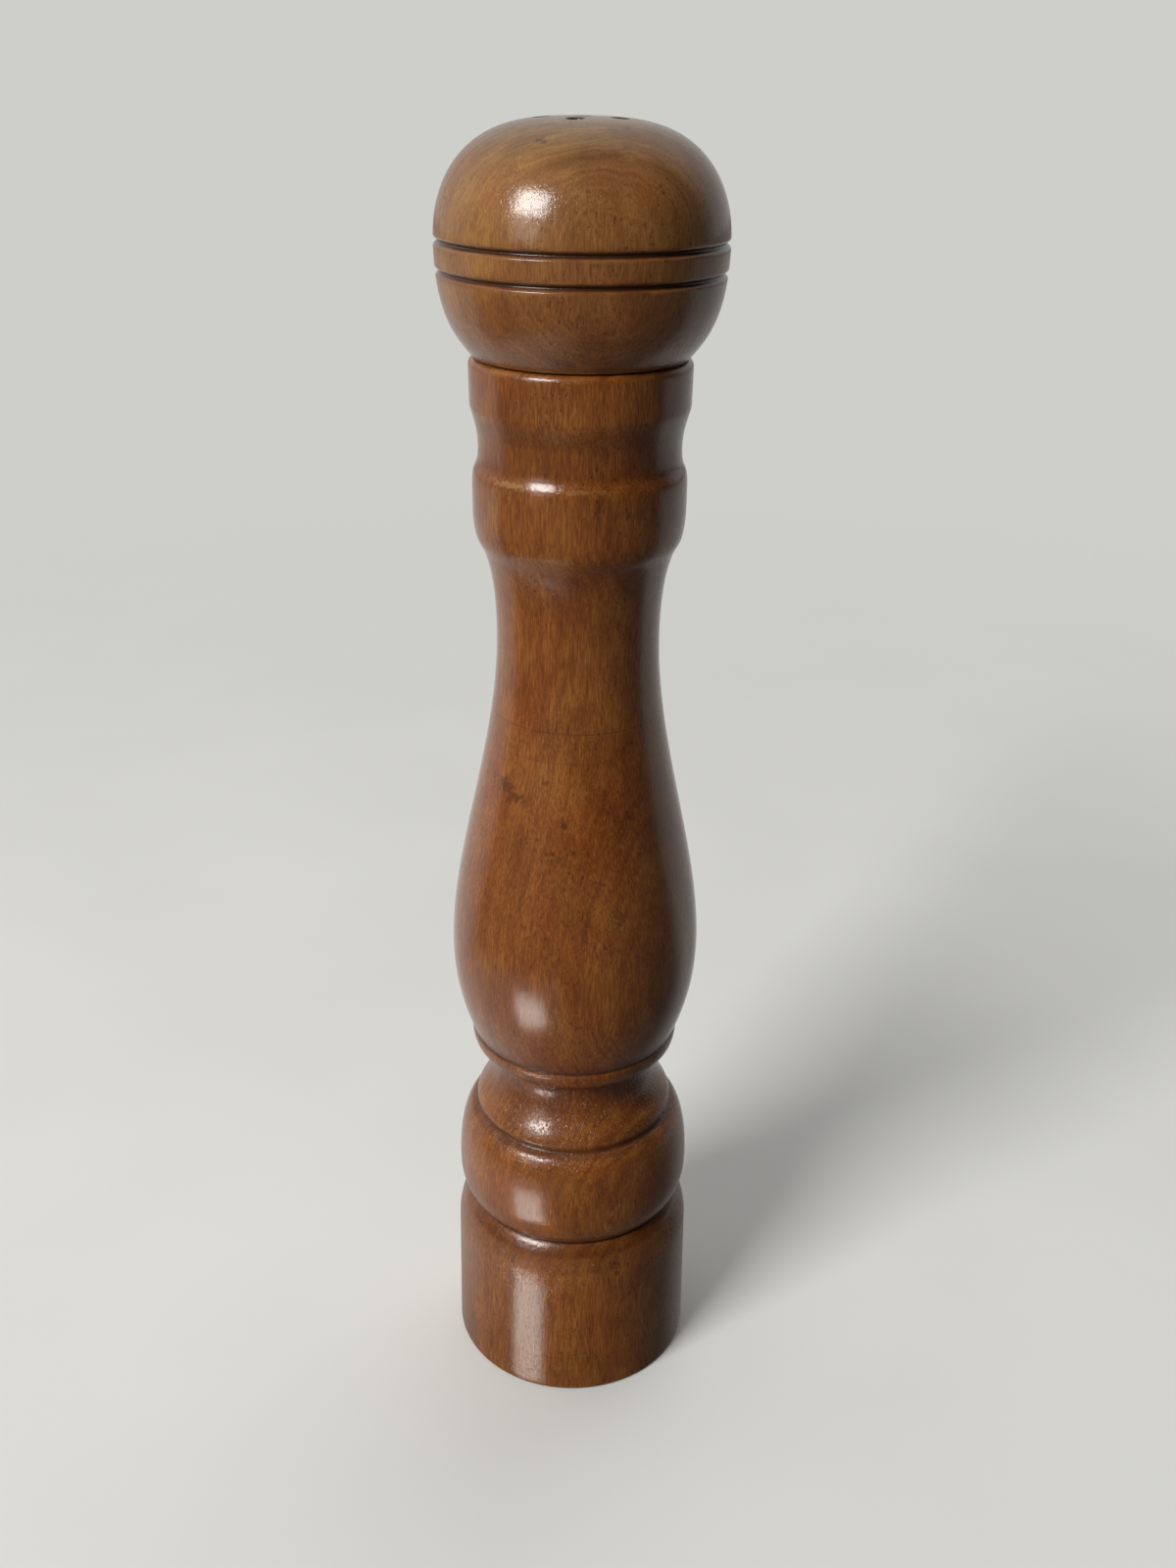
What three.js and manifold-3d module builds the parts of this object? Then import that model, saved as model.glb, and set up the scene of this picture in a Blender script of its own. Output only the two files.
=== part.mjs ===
// Pepper mill with a salt-shaker head: a tall turned wooden body with a burr mill in its foot,
// and a round head that turns the mill by a square shaft and holds salt in a chamber of its own.
//
// Millimetres, +Z up. The origin is the middle of the foot's underside.
// Body pieces stand still. The head turns and lifts off. The shaft turns with the head.
// The thumb screw under the foot raises the shaft and its burr, and so sets the grind.

import * as THREE from "three";
import { mergeVertices } from "three/addons/utils/BufferGeometryUtils.js";
import Module from "manifold-3d";

const wasm = await Module();
wasm.setup();

// ---------------------------------------------------------------- clearances
const seatGap = 0.3; // between a piece and the face that it rests on
const glueGap = 0.1; // round a piece that is glued, pressed or screwed in its bore
const runGap = 0.1; // round a piece that turns or slides in its bore
const pushGap = 0.08; // round a ring, washer or ball that touches its seat

// ---------------------------------------------------------------- facets round a full turn
const wideFacets = 40; // wood, housing and ring
const narrowFacets = 24; // shaft pieces, plates and holes
const screwFacets = 12;
const strapFacets = 12; // round each end of a strap
const wireFacets = 8; // round the spring's wire

// ---------------------------------------------------------------- body, from the foot upwards
const bodyHeight = 255;
const footRadius = 30;
const footTaper = 0.4; // how much slimmer the foot is at the top of its straight side
const footSideHeight = 34.6;
const footEdge = 0.6; // small round on the foot's lower edge
const footShoulderFullness = 1.7; // 2 is an ellipse, and more is squarer
const footHeight = 45.2; // up to the deep groove over the foot
const footGrooveRadius = 25.2;
const torusHeight = 26.1; // from the deep groove to the crease over the torus
const torusWidestHeight = 8.9; // above the deep groove
const torusFullness = 2.2;
const torusInset = 1.05; // how much slimmer the torus is than the foot
const torusCreaseRadius = 23.7;
const shoulderHeight = 13.4; // from the torus crease to the waist
const shoulderWidestHeight = 0.8; // above the torus crease
const shoulderRadius = 24.4;
const waistRadius = 19.4; // where the body is slimmest, under the band
const waistHeight = 5.7; // from the waist to the band
const bandHeight = 4.1;
const bandLowerRadius = 24.05;
const bandUpperRadius = 25.1;
const bulbUnderHeight = 23.8; // from the band to the widest part of the bulb
const bulbInset = 0.7; // how much slimmer the bulb is than the foot

// ---------------------------------------------------------------- body, from its top downwards
const neckDepth = 59.5; // below the top, where the neck is narrowest
const neckRadius = 17.9;
const lowerCollarBottomDepth = 39; // below the top, and so are the next four
const lowerCollarSideDepth = 30.5;
const lowerCollarTopDepth = 26.2;
const collarCoveDepth = 17.9;
const upperCollarBottomDepth = 9.5;
const lowerCollarRadius = 22.7;
const lowerCollarRootRadius = 20.9; // in the crease under the lower collar
const collarCoveRadius = 21.35;
const upperCollarRadius = 23.1;
const collarTaper = 0.15; // how much slimmer the upper collar is at its lower edge
const rimRound = 0.9; // round on the body's upper edge

// ---------------------------------------------------------------- bores of the body
const chamberRadius = 13; // pepper chamber, bored right through
const tenonBoreRadius = 18.25;
const tenonBoreDepth = 16;
const burrBoreRadius = 15.5;
const burrBoreTop = 44; // height of the step that the burr bore ends at
const recessRadius = 22; // of the wide bore under the foot
const recessDepth = 14;

// ---------------------------------------------------------------- head
const headHeight = 44.7;
const headRimRadius = 22.2; // where the head meets the body
const headInset = 0.55; // how much slimmer the head is than the foot
const headWidestHeight = 21.9; // above the head's underside
const crownFullness = 3; // across the dome
const crownRiseFullness = 2.15; // up the dome
const headGrooveHeights = [16.5, 22.2]; // above the head's underside
const headGrooveWidth = 1.9;
const headGrooveDepth = 0.95;
const saltRadius = 18;
const crownWall = 6; // wood over the salt chamber
const saltRound = 5; // round at the chamber's ceiling
const shakerHoleRadius = 1.65;
const shakerRingRadius = 8;
const shakerRingCount = 5;
const shakerRingPhase = THREE.MathUtils.degToRad(-101);

// ---------------------------------------------------------------- tenon plug, ring and stopper
const plugSeatHeight = 10.7; // part of the plug that is glued into the head
const tenonLength = 11.5; // part of it below the top of the body
const tenonPlay = 0.35; // between the tenon and its bore, where only the ring touches
const ringHeight = 4.7;
const ringDepth = 3.6; // of the ring's upper edge below the top of the body
const ringWall = 1.6;
const ringSlit = 0.16; // half of the ring's slit, in radians
const socketRadius = 4.6; // blind hole in the plug for the shaft's end
const socketHeight = 16.5; // above the plug's underside
const fillerOffset = 10.8; // from the axis to the filling hole
const fillerRadius = 4.3;
const stopperLength = 8;
const stopperFlange = 1.1; // how far the stopper's flange reaches past the hole
const stopperFlangeHeight = 1.5;

// ---------------------------------------------------------------- drive plate and its screws
const plateLength = 27;
const plateWidth = 10;
const plateThickness = 1.2;
const plateScrewOffset = 9.6;
const plateScrewRadius = 1.2;
const plateScrewHeadRadius = 2.5;
const plateScrewHeadHeight = 1.3;
const plateScrewLength = 9;

// ---------------------------------------------------------------- shaft and burrs
const shaftSide = 6; // across the flats
const shaftTip = 1.2; // chamfer at the shaft's upper end
const shaftEngagement = 14.5; // of the shaft in the plug, above the plug's underside
const housingWall = 1.9;
const flangeThickness = 1.4;
const spiderHeight = 3;
const spiderHubWall = 1.7;
const spiderArmWidth = 3;
const spiderArmCount = 3;
const statorHeight = 13.2;
const statorMouthRadius = 11.6; // at its lower edge
const statorThroatRadius = 9.2; // at its upper edge
const burrGap = 0.35; // between the teeth at rest
const burrTeeth = 20;
const burrToothDepth = 0.7;
const burrTwist = 0.4; // radians over the height of the teeth
const burrSteps = 3; // stations up the height of the teeth
const rotorBottom = 15.2; // height of the rotor's underside
const rotorHeight = 14; // of its toothed cone
const rotorCrownRadius = 7;
const hubRadius = 5.9;
const hubHeight = 4;
const rotorHollowRadius = 6.3;
const rotorHollowHeight = 5;
const pinRadius = 1;

// ---------------------------------------------------------------- thrust pieces and adjuster
const ballRadius = 2;
const dimpleRadius = 1.7; // mouth of the 45 degree dimples that hold the ball
const shaftEndHeight = 18.9; // height of the shaft's lower end
const washerThickness = 0.8;
const washerRadius = 6.9;
const springWire = 1.1; // wire diameter
const springMeanRadius = 5.5;
const springTurns = 3.5;
const bridgeWidth = 12;
const bridgeThickness = 1.6;
const bossRadius = 4.6;
const bossHeight = 2.4;
const stemRadius = 2.5;
const knobRadius = 7.5;
const knobHeight = 5.6;
const knobFlutes = 24;
const knobFluteDepth = 0.45;
const knobClearance = 1.6; // between the knob and the bridge
const screwInset = 3.4; // from the recess's wall to the middle of each bridge screw
const screwRadius = 1.5;
const screwHeadRadius = 2.9;
const screwHeadHeight = 1.8;
const screwLength = 16;
const slotWidth = 0.8;

// ---------------------------------------------------------------- sizes that follow from these
const footTopRadius = footRadius - footTaper;
const torusRadius = footRadius - torusInset;
const bulbRadius = footRadius - bulbInset;
const headRadius = footRadius - headInset;
const screwCircle = recessRadius - screwInset;
const torusCreaseZ = footHeight + torusHeight;
const waistZ = torusCreaseZ + shoulderHeight;
const bandBottomZ = waistZ + waistHeight;
const bandTopZ = bandBottomZ + bandHeight;
const bulbZ = bandTopZ + bulbUnderHeight;
const neckZ = bodyHeight - neckDepth;
const headBottomZ = bodyHeight + seatGap;
const plugBottomZ = bodyHeight - tenonLength;
const plateBottomZ = plugBottomZ - seatGap - plateThickness;
const flangeTopZ = recessDepth - seatGap;
const flangeBottomZ = flangeTopZ - flangeThickness;
const bridgeTopZ = flangeBottomZ - seatGap;
const bridgeBottomZ = bridgeTopZ - bridgeThickness;
const housingTopZ = burrBoreTop - seatGap;
const spiderBottomZ = housingTopZ - spiderHeight;
const housingRadius = burrBoreRadius - 2 * glueGap;
const flangeRadius = recessRadius - 4 * glueGap;
const coneTopZ = rotorBottom + rotorHeight;
const hubTopZ = coneTopZ + hubHeight;
const shaftCorner = shaftSide / Math.SQRT2; // from the axis to a corner of the shaft
const dimpleDepth = dimpleRadius;
const ballRise = ballRadius * Math.SQRT2 - dimpleDepth + pushGap; // ball's middle to a dimpled face
const ballZ = shaftEndHeight - ballRise;
const stemTopZ = ballZ - ballRise;
const knobTopZ = bridgeBottomZ - knobClearance;

// ---------------------------------------------------------------- materials
function material(color, roughness, metalness) {
  return new THREE.MeshStandardMaterial({ color, roughness, metalness });
}
const stainedWood = material(0x8a3d12, 0.32, 0);
const plugWood = material(0x9a5424, 0.5, 0);
const steel = material(0xb4b4b2, 0.35, 1);
const darkSteel = material(0x6f6f70, 0.45, 1);
const castZinc = material(0x8d8f91, 0.55, 0.9);
const aluminium = material(0xc9cacb, 0.3, 1);
const brass = material(0xc8a24c, 0.3, 1);
const nylon = material(0xe8e4d6, 0.5, 0);
const rubber = material(0x2b2a29, 0.8, 0);

// ---------------------------------------------------------------- helpers
const point = (radius, z) => new THREE.Vector2(radius, z);

// Points of a cubic curve from `from` to `to`, without the first one.
function curveTo(from, pullFrom, pullTo, to, steps) {
  return new THREE.CubicBezierCurve(from, pullFrom, pullTo, to).getPoints(steps).slice(1);
}

// A curve that leaves `from` and reaches `to` upright.
function easeTo(from, to, pull, steps) {
  const reach = pull * (to.y - from.y);
  return curveTo(from, point(from.x, from.y + reach), point(to.x, to.y - reach), to, steps);
}

// A quarter of an oval from `from` to `to`, upright at `uprightEnd` ("from" or "to"). It is an
// ellipse at a fullness of 2, and squarer across or along its height at more.
function quarterTo(from, to, uprightEnd, steps, fullness = 2, alongFullness = fullness) {
  const points = [];
  for (let i = 1; i <= steps; i++) {
    const angle = ((Math.PI / 2) * i) / steps;
    const [sin, cos] = [Math.sin(angle), i < steps ? Math.cos(angle) : 0];
    const across = uprightEnd === "from" ? 1 - cos ** (2 / fullness) : sin ** (2 / fullness);
    const along = uprightEnd === "from" ? sin ** (2 / alongFullness) : 1 - cos ** (2 / alongFullness);
    points.push(point(from.x + (to.x - from.x) * across, from.y + (to.y - from.y) * along));
  }
  return points;
}

// Radius of a rising outline at a height.
function radiusAt(outline, z) {
  const next = outline.findIndex((p) => p.y >= z);
  const [low, high] = [outline[next - 1], outline[next]];
  return THREE.MathUtils.mapLinear(z, low.y, high.y, low.x, high.x);
}

// The outline with a V-shaped groove cut into it at a height.
function grooved(outline, z, width, depth) {
  const [low, high] = [z - width / 2, z + width / 2];
  return [
    ...outline.filter((p) => p.y < low),
    point(radiusAt(outline, low), low),
    point(radiusAt(outline, z) - depth, z),
    point(radiusAt(outline, high), high),
    ...outline.filter((p) => p.y > high),
  ];
}

// A closed geometry with merged corners and no collapsed triangles, facing out.
function cleaned(geometry) {
  geometry.deleteAttribute("normal");
  geometry.deleteAttribute("uv");
  const merged = mergeVertices(geometry, 1e-4);
  const corners = merged.index.array;
  const [a, b, c] = [new THREE.Vector3(), new THREE.Vector3(), new THREE.Vector3()];
  const kept = [];
  let volume = 0;
  for (let i = 0; i < corners.length; i += 3) {
    const [p, q, r] = corners.slice(i, i + 3);
    if (p === q || q === r || r === p) continue;
    kept.push(p, q, r);
    [a, b, c].forEach((v, k) => v.fromBufferAttribute(merged.attributes.position, corners[i + k]));
    volume += a.dot(b.cross(c));
  }
  merged.setIndex(volume < 0 ? kept.reverse() : kept);
  return merged;
}

// An outline of radius and height, turned about the Z axis.
function turned(outline, facets, startAngle = 0) {
  const geometry = new THREE.LatheGeometry(outline, facets, startAngle);
  return cleaned(geometry.rotateX(Math.PI / 2));
}

// A turned ring: its outline is closed by repeating the first point.
function turnedRing(outline, facets) {
  return turned([...outline, outline[0]], facets);
}

// A plain round bar about the Z axis.
function bar(radius, low, high, facets) {
  return turned([point(0, low), point(radius, low), point(radius, high), point(0, high)], facets);
}

// A square bar about the Z axis.
function squareBar(side, low, high) {
  const geometry = new THREE.BoxGeometry(side, side, high - low);
  return cleaned(geometry.translate(0, 0, (low + high) / 2));
}

// A flat shape with thickness, standing on a height, with `facets` along each of its arcs.
function plate(shape, low, thickness, facets) {
  const options = { depth: thickness, bevelEnabled: false, curveSegments: facets / 2 };
  return cleaned(new THREE.ExtrudeGeometry(shape, options).translate(0, 0, low));
}

// A strap with round ends along the X axis.
function strapShape(length, width) {
  const reach = (length - width) / 2;
  const shape = new THREE.Shape();
  shape.absarc(reach, 0, width / 2, -Math.PI / 2, Math.PI / 2);
  shape.absarc(-reach, 0, width / 2, Math.PI / 2, (3 * Math.PI) / 2);
  return shape;
}

function toSolid(geometry) {
  return new wasm.Manifold(
    new wasm.Mesh({
      numProp: 3,
      vertProperties: Float32Array.from(geometry.attributes.position.array),
      triVerts: Uint32Array.from(geometry.index.array),
    }),
  );
}

function toGeometry(solid) {
  const { vertProperties, triVerts } = solid.getMesh();
  const geometry = new THREE.BufferGeometry();
  geometry.setAttribute("position", new THREE.BufferAttribute(vertProperties, 3));
  geometry.setIndex(new THREE.BufferAttribute(triVerts, 1));
  return geometry;
}

function cut(geometry, tools) {
  return toGeometry(tools.reduce((solid, tool) => solid.subtract(toSolid(tool)), toSolid(geometry)));
}

function joined(geometries) {
  return toGeometry(geometries.map(toSolid).reduce((whole, next) => whole.add(next)));
}

// Turned teeth: every second column of the chosen outline points moves in or out by `depth`,
// and the columns lean by `twist` radians from the lowest to the highest of those points.
function toothed(outline, isTooth, teeth, depth, twist) {
  const columns = 2 * teeth;
  const geometry = new THREE.LatheGeometry(outline, columns);
  const position = geometry.attributes.position;
  const heights = outline.filter(isTooth).map((p) => p.y);
  const [low, high] = [Math.min(...heights), Math.max(...heights)];
  for (let column = 0; column <= columns; column++) {
    outline.forEach((p, row) => {
      const step = isTooth(p) && column % 2 === 1 ? depth : 0;
      const lean = high > low ? twist * THREE.MathUtils.clamp((p.y - low) / (high - low), 0, 1) : 0;
      const angle = (2 * Math.PI * (column % columns)) / columns + (isTooth(p) ? lean : 0);
      const radius = p.x + step;
      const index = column * outline.length + row;
      position.setXYZ(index, radius * Math.sin(angle), p.y, radius * Math.cos(angle));
    });
  }
  return cleaned(geometry.rotateX(Math.PI / 2));
}

// ---------------------------------------------------------------- wooden body
function bodyOutline() {
  const footCorner = point(footRadius, footEdge);
  const footTop = point(footTopRadius, footSideHeight);
  const footGroove = point(footGrooveRadius, footHeight);
  const torusWidest = point(torusRadius, footHeight + torusWidestHeight);
  const torusCrease = point(torusCreaseRadius, torusCreaseZ);
  const shoulderWidest = point(shoulderRadius, torusCreaseZ + shoulderWidestHeight);
  const waist = point(waistRadius, waistZ);
  const bandBottom = point(bandLowerRadius, bandBottomZ);
  const bandTop = point(bandUpperRadius, bandTopZ);
  const bulbWidest = point(bulbRadius, bulbZ);
  const neck = point(neckRadius, neckZ);
  const collarRoot = point(lowerCollarRootRadius, bodyHeight - lowerCollarBottomDepth);
  const collarSide = point(lowerCollarRadius, bodyHeight - lowerCollarSideDepth);
  const collarTop = point(lowerCollarRadius, bodyHeight - lowerCollarTopDepth);
  const cove = point(collarCoveRadius, bodyHeight - collarCoveDepth);
  const upperCollar = point(upperCollarRadius - collarTaper, bodyHeight - upperCollarBottomDepth);
  const rim = point(upperCollarRadius, bodyHeight - rimRound);
  const rimTop = point(upperCollarRadius - rimRound, bodyHeight);
  const bulbRise = neck.y - bulbWidest.y;
  const neckRise = collarRoot.y - neck.y;
  const neckFlare = collarRoot.x - neck.x;
  const waistRise = waist.y - shoulderWidest.y;
  return [
    point(footRadius - footEdge, 0),
    footCorner,
    footTop,
    ...quarterTo(footTop, footGroove, "from", 5, footShoulderFullness),
    ...quarterTo(footGroove, torusWidest, "to", 4),
    ...quarterTo(torusWidest, torusCrease, "from", 7, torusFullness),
    shoulderWidest,
    ...curveTo(
      shoulderWidest,
      point(shoulderWidest.x, shoulderWidest.y + 0.3 * waistRise),
      point(waist.x, waist.y - 0.55 * waistRise),
      waist,
      7,
    ),
    ...quarterTo(waist, bandBottom, "from", 4),
    bandTop,
    ...curveTo(
      bandTop,
      point(bandTop.x + 0.12 * bulbUnderHeight, bandTop.y + 0.34 * bulbUnderHeight),
      point(bulbWidest.x, bulbWidest.y - 0.38 * bulbUnderHeight),
      bulbWidest,
      5,
    ),
    ...curveTo(
      bulbWidest,
      point(bulbWidest.x, bulbWidest.y + 0.3 * bulbRise),
      point(neck.x, neck.y - 0.34 * bulbRise),
      neck,
      9,
    ),
    ...curveTo(
      neck,
      point(neck.x, neck.y + 0.41 * neckRise),
      point(neck.x + 0.23 * neckFlare, collarRoot.y - 0.26 * neckRise),
      collarRoot,
      4,
    ),
    ...quarterTo(collarRoot, collarSide, "to", 3),
    collarTop,
    ...easeTo(collarTop, cove, 0.67, 5),
    ...easeTo(cove, upperCollar, 0.47, 5),
    rim,
    ...quarterTo(rim, rimTop, "from", 2),
  ];
}

function millBody() {
  const tenonFloorZ = bodyHeight - tenonBoreDepth;
  const outline = [
    ...bodyOutline(),
    point(tenonBoreRadius, bodyHeight),
    point(tenonBoreRadius, tenonFloorZ),
    point(chamberRadius, tenonFloorZ),
    point(chamberRadius, burrBoreTop),
    point(burrBoreRadius, burrBoreTop),
    point(burrBoreRadius, recessDepth),
    point(recessRadius, recessDepth),
    point(recessRadius, 0),
  ];
  const pilotTopZ = bridgeBottomZ + screwLength + 1;
  const pilots = [-1, 1].map((side) =>
    bar(screwRadius + glueGap, recessDepth - 1, pilotTopZ, screwFacets).translate(side * screwCircle, 0, 0),
  );
  return cut(turnedRing(outline, wideFacets), pilots);
}

// ---------------------------------------------------------------- grinding mechanism
function burrHousing() {
  const innerRadius = housingRadius - housingWall;
  const sleeve = turnedRing(
    [
      point(innerRadius, flangeBottomZ),
      point(flangeRadius, flangeBottomZ),
      point(flangeRadius, flangeTopZ),
      point(housingRadius, flangeTopZ),
      point(housingRadius, housingTopZ),
      point(innerRadius, housingTopZ),
    ],
    wideFacets,
  );
  const hub = bar(shaftCorner + runGap + spiderHubWall, spiderBottomZ, housingTopZ, narrowFacets);
  const armReach = innerRadius + housingWall / 2;
  const arms = Array.from({ length: spiderArmCount }, (_, i) => {
    const arm = new THREE.BoxGeometry(armReach, spiderArmWidth, spiderHeight);
    arm.translate(armReach / 2, 0, (spiderBottomZ + housingTopZ) / 2);
    return cleaned(arm.rotateZ((2 * Math.PI * (i + 0.5)) / spiderArmCount));
  });
  const shaftHole = bar(shaftCorner + runGap, spiderBottomZ - 1, housingTopZ + 1, narrowFacets);
  const screwHoles = [-1, 1].map((side) =>
    bar(screwRadius + 2 * glueGap, flangeBottomZ - 1, flangeTopZ + 1, screwFacets)
      .translate(side * screwCircle, 0, 0),
  );
  return cut(joined([sleeve, hub, ...arms]), [shaftHole, ...screwHoles]);
}

const throatZ = flangeBottomZ + statorHeight;

function statorRadiusAt(z) {
  return THREE.MathUtils.mapLinear(z, flangeBottomZ, throatZ, statorMouthRadius, statorThroatRadius);
}

// Points of the burrs' cone between two heights, ends included.
function conePoints(low, high, gap) {
  return Array.from({ length: burrSteps + 1 }, (_, i) => {
    const z = THREE.MathUtils.lerp(low, high, i / burrSteps);
    return point(statorRadiusAt(z) - gap, z);
  });
}

function statorBurr() {
  const outerRadius = housingRadius - housingWall - glueGap;
  const outline = [
    point(outerRadius, throatZ),
    point(outerRadius, flangeBottomZ),
    ...conePoints(flangeBottomZ, throatZ, 0),
    point(outerRadius, throatZ),
  ];
  return toothed(outline, (p) => p.x < outerRadius, burrTeeth, burrToothDepth, burrTwist);
}

function rotorBurr() {
  const outline = [
    point(0, rotorBottom),
    ...conePoints(rotorBottom, throatZ, burrGap),
    point(rotorCrownRadius, coneTopZ),
    point(0, coneTopZ),
  ];
  const cone = toothed(outline, (p) => p.x > hubRadius, burrTeeth, -burrToothDepth, burrTwist);
  const hub = bar(hubRadius, coneTopZ - 1, hubTopZ, narrowFacets);
  const hollow = bar(rotorHollowRadius, rotorBottom - 1, rotorBottom + rotorHollowHeight, narrowFacets);
  const shaftHole = squareBar(shaftSide + 2 * glueGap, rotorBottom, hubTopZ + 1);
  return cut(joined([cone, hub]), [hollow, shaftHole, pinBar(pinRadius + glueGap, 2 * hubRadius + 2)]);
}

// A bar along the X axis, where the rotor's pin goes.
function pinBar(radius, length) {
  const pinZ = coneTopZ + hubHeight / 2;
  const geometry = bar(radius, -length / 2, length / 2, screwFacets);
  return geometry.rotateY(Math.PI / 2).translate(0, 0, pinZ);
}

function driveShaft() {
  const topZ = plugBottomZ + shaftEngagement;
  const outline = [
    point(0, shaftEndHeight),
    point(shaftCorner, shaftEndHeight),
    point(shaftCorner, topZ - shaftTip),
    point(shaftCorner - shaftTip, topZ),
    point(0, topZ),
  ];
  const rod = turned(outline, 4, Math.PI / 4);
  const dimple = turned(
    [
      point(0, shaftEndHeight - 1),
      point(dimpleRadius + 1, shaftEndHeight - 1),
      point(0, shaftEndHeight + dimpleDepth),
    ],
    narrowFacets,
  );
  return cut(rod, [dimple, pinBar(pinRadius + glueGap, 2 * shaftSide)]);
}

function springWasher() {
  const low = hubTopZ + pushGap;
  const outline = [
    point(shaftCorner + runGap, low),
    point(washerRadius, low),
    point(washerRadius, low + washerThickness),
    point(shaftCorner + runGap, low + washerThickness),
  ];
  return turnedRing(outline, narrowFacets);
}

class Helix extends THREE.Curve {
  constructor(radius, turns, low, high) {
    super();
    Object.assign(this, { radius, turns, low, high });
  }

  getPoint(t) {
    const angle = 2 * Math.PI * this.turns * t;
    const z = THREE.MathUtils.lerp(this.low, this.high, t);
    return new THREE.Vector3(this.radius * Math.cos(angle), this.radius * Math.sin(angle), z);
  }
}

function grindSpring() {
  const endGap = springWire / 2 + seatGap;
  const low = hubTopZ + pushGap + washerThickness + endGap;
  const path = new Helix(springMeanRadius, springTurns, low, spiderBottomZ - endGap);
  const wire = new THREE.Shape();
  wire.absarc(0, 0, springWire / 2, 0, 2 * Math.PI);
  const steps = Math.round(12 * springTurns);
  const options = { steps, curveSegments: wireFacets / 2, bevelEnabled: false, extrudePath: path };
  return cleaned(new THREE.ExtrudeGeometry(wire, options));
}

function bottomBridge() {
  const strap = plate(strapShape(2 * flangeRadius, bridgeWidth), bridgeBottomZ, bridgeThickness, strapFacets);
  const boss = bar(bossRadius, bridgeBottomZ, bridgeTopZ + bossHeight, narrowFacets);
  const stemHole = bar(stemRadius + runGap, bridgeBottomZ - 1, bridgeTopZ + bossHeight + 1, narrowFacets);
  const screwHoles = [-1, 1].map((side) =>
    bar(screwRadius + 2 * glueGap, bridgeBottomZ - 1, bridgeTopZ + 1, screwFacets)
      .translate(side * screwCircle, 0, 0),
  );
  return cut(joined([strap, boss]), [stemHole, ...screwHoles]);
}

function thumbScrew() {
  const bottomZ = knobTopZ - knobHeight;
  const edge = 0.8;
  const knobOutline = [
    point(0, bottomZ),
    point(knobRadius - edge, bottomZ),
    point(knobRadius, bottomZ + edge),
    point(knobRadius, knobTopZ - edge),
    point(knobRadius - edge, knobTopZ),
    point(0, knobTopZ),
  ];
  const knob = toothed(knobOutline, (p) => p.x === knobRadius, knobFlutes, -knobFluteDepth, 0);
  const stem = bar(stemRadius, knobTopZ - 1, stemTopZ, narrowFacets);
  const dimple = turned(
    [point(0, stemTopZ - dimpleDepth), point(dimpleRadius + 1, stemTopZ + 1), point(0, stemTopZ + 1)],
    narrowFacets,
  );
  return cut(joined([knob, stem]), [dimple]);
}

// A pan-head screw pointing up, with the seat of its head at height 0.
function panScrew(radius, headRadius, headHeight, length) {
  const outline = [
    point(0, -headHeight),
    point(0.6 * headRadius, -headHeight),
    point(0.9 * headRadius, -0.7 * headHeight),
    point(headRadius, -0.25 * headHeight),
    point(headRadius, 0),
    point(radius, 0),
    point(radius, length - 2 * radius),
    point(0, length),
  ];
  const slot = new THREE.BoxGeometry(3 * headRadius, slotWidth, headHeight);
  slot.translate(0, 0, -headHeight);
  return cut(turned(outline, screwFacets), [cleaned(slot)]);
}

// ---------------------------------------------------------------- head
function headOutline() {
  const rim = point(headRimRadius, headBottomZ);
  const widest = point(headRadius, headBottomZ + headWidestHeight);
  const top = point(0, headBottomZ + headHeight);
  const flank = [
    rim,
    ...curveTo(
      rim,
      point(rim.x + 0.47 * (widest.x - rim.x), rim.y + 0.18 * headWidestHeight),
      point(widest.x, widest.y - 0.63 * headWidestHeight),
      widest,
      8,
    ),
    ...quarterTo(widest, top, "from", 13, crownFullness, crownRiseFullness),
  ];
  return headGrooveHeights.reduce(
    (outline, height) => grooved(outline, headBottomZ + height, headGrooveWidth, headGrooveDepth),
    flank,
  );
}

function headShell() {
  const topZ = headBottomZ + headHeight;
  const ceilingZ = topZ - crownWall;
  const ceilingCorner = point(saltRadius - saltRound, ceilingZ);
  const wallTop = point(saltRadius, ceilingZ - saltRound);
  const outline = [
    point(0, ceilingZ),
    ceilingCorner,
    ...quarterTo(ceilingCorner, wallTop, "to", 4),
    point(saltRadius, headBottomZ),
    ...headOutline(),
  ];
  const centres = [[0, 0]];
  for (let i = 0; i < shakerRingCount; i++) {
    const angle = shakerRingPhase + (2 * Math.PI * i) / shakerRingCount;
    centres.push([shakerRingRadius * Math.cos(angle), shakerRingRadius * Math.sin(angle)]);
  }
  const holes = centres.map(([x, y]) =>
    bar(shakerHoleRadius, ceilingZ - 1, topZ + 1, screwFacets).translate(x, y, 0),
  );
  return cut(turned(outline, wideFacets), holes);
}

const tenonRadius = tenonBoreRadius - tenonPlay;
const ringOuterRadius = tenonBoreRadius - runGap;
const ringInnerRadius = ringOuterRadius - ringWall;
const ringTopZ = bodyHeight - ringDepth;

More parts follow.
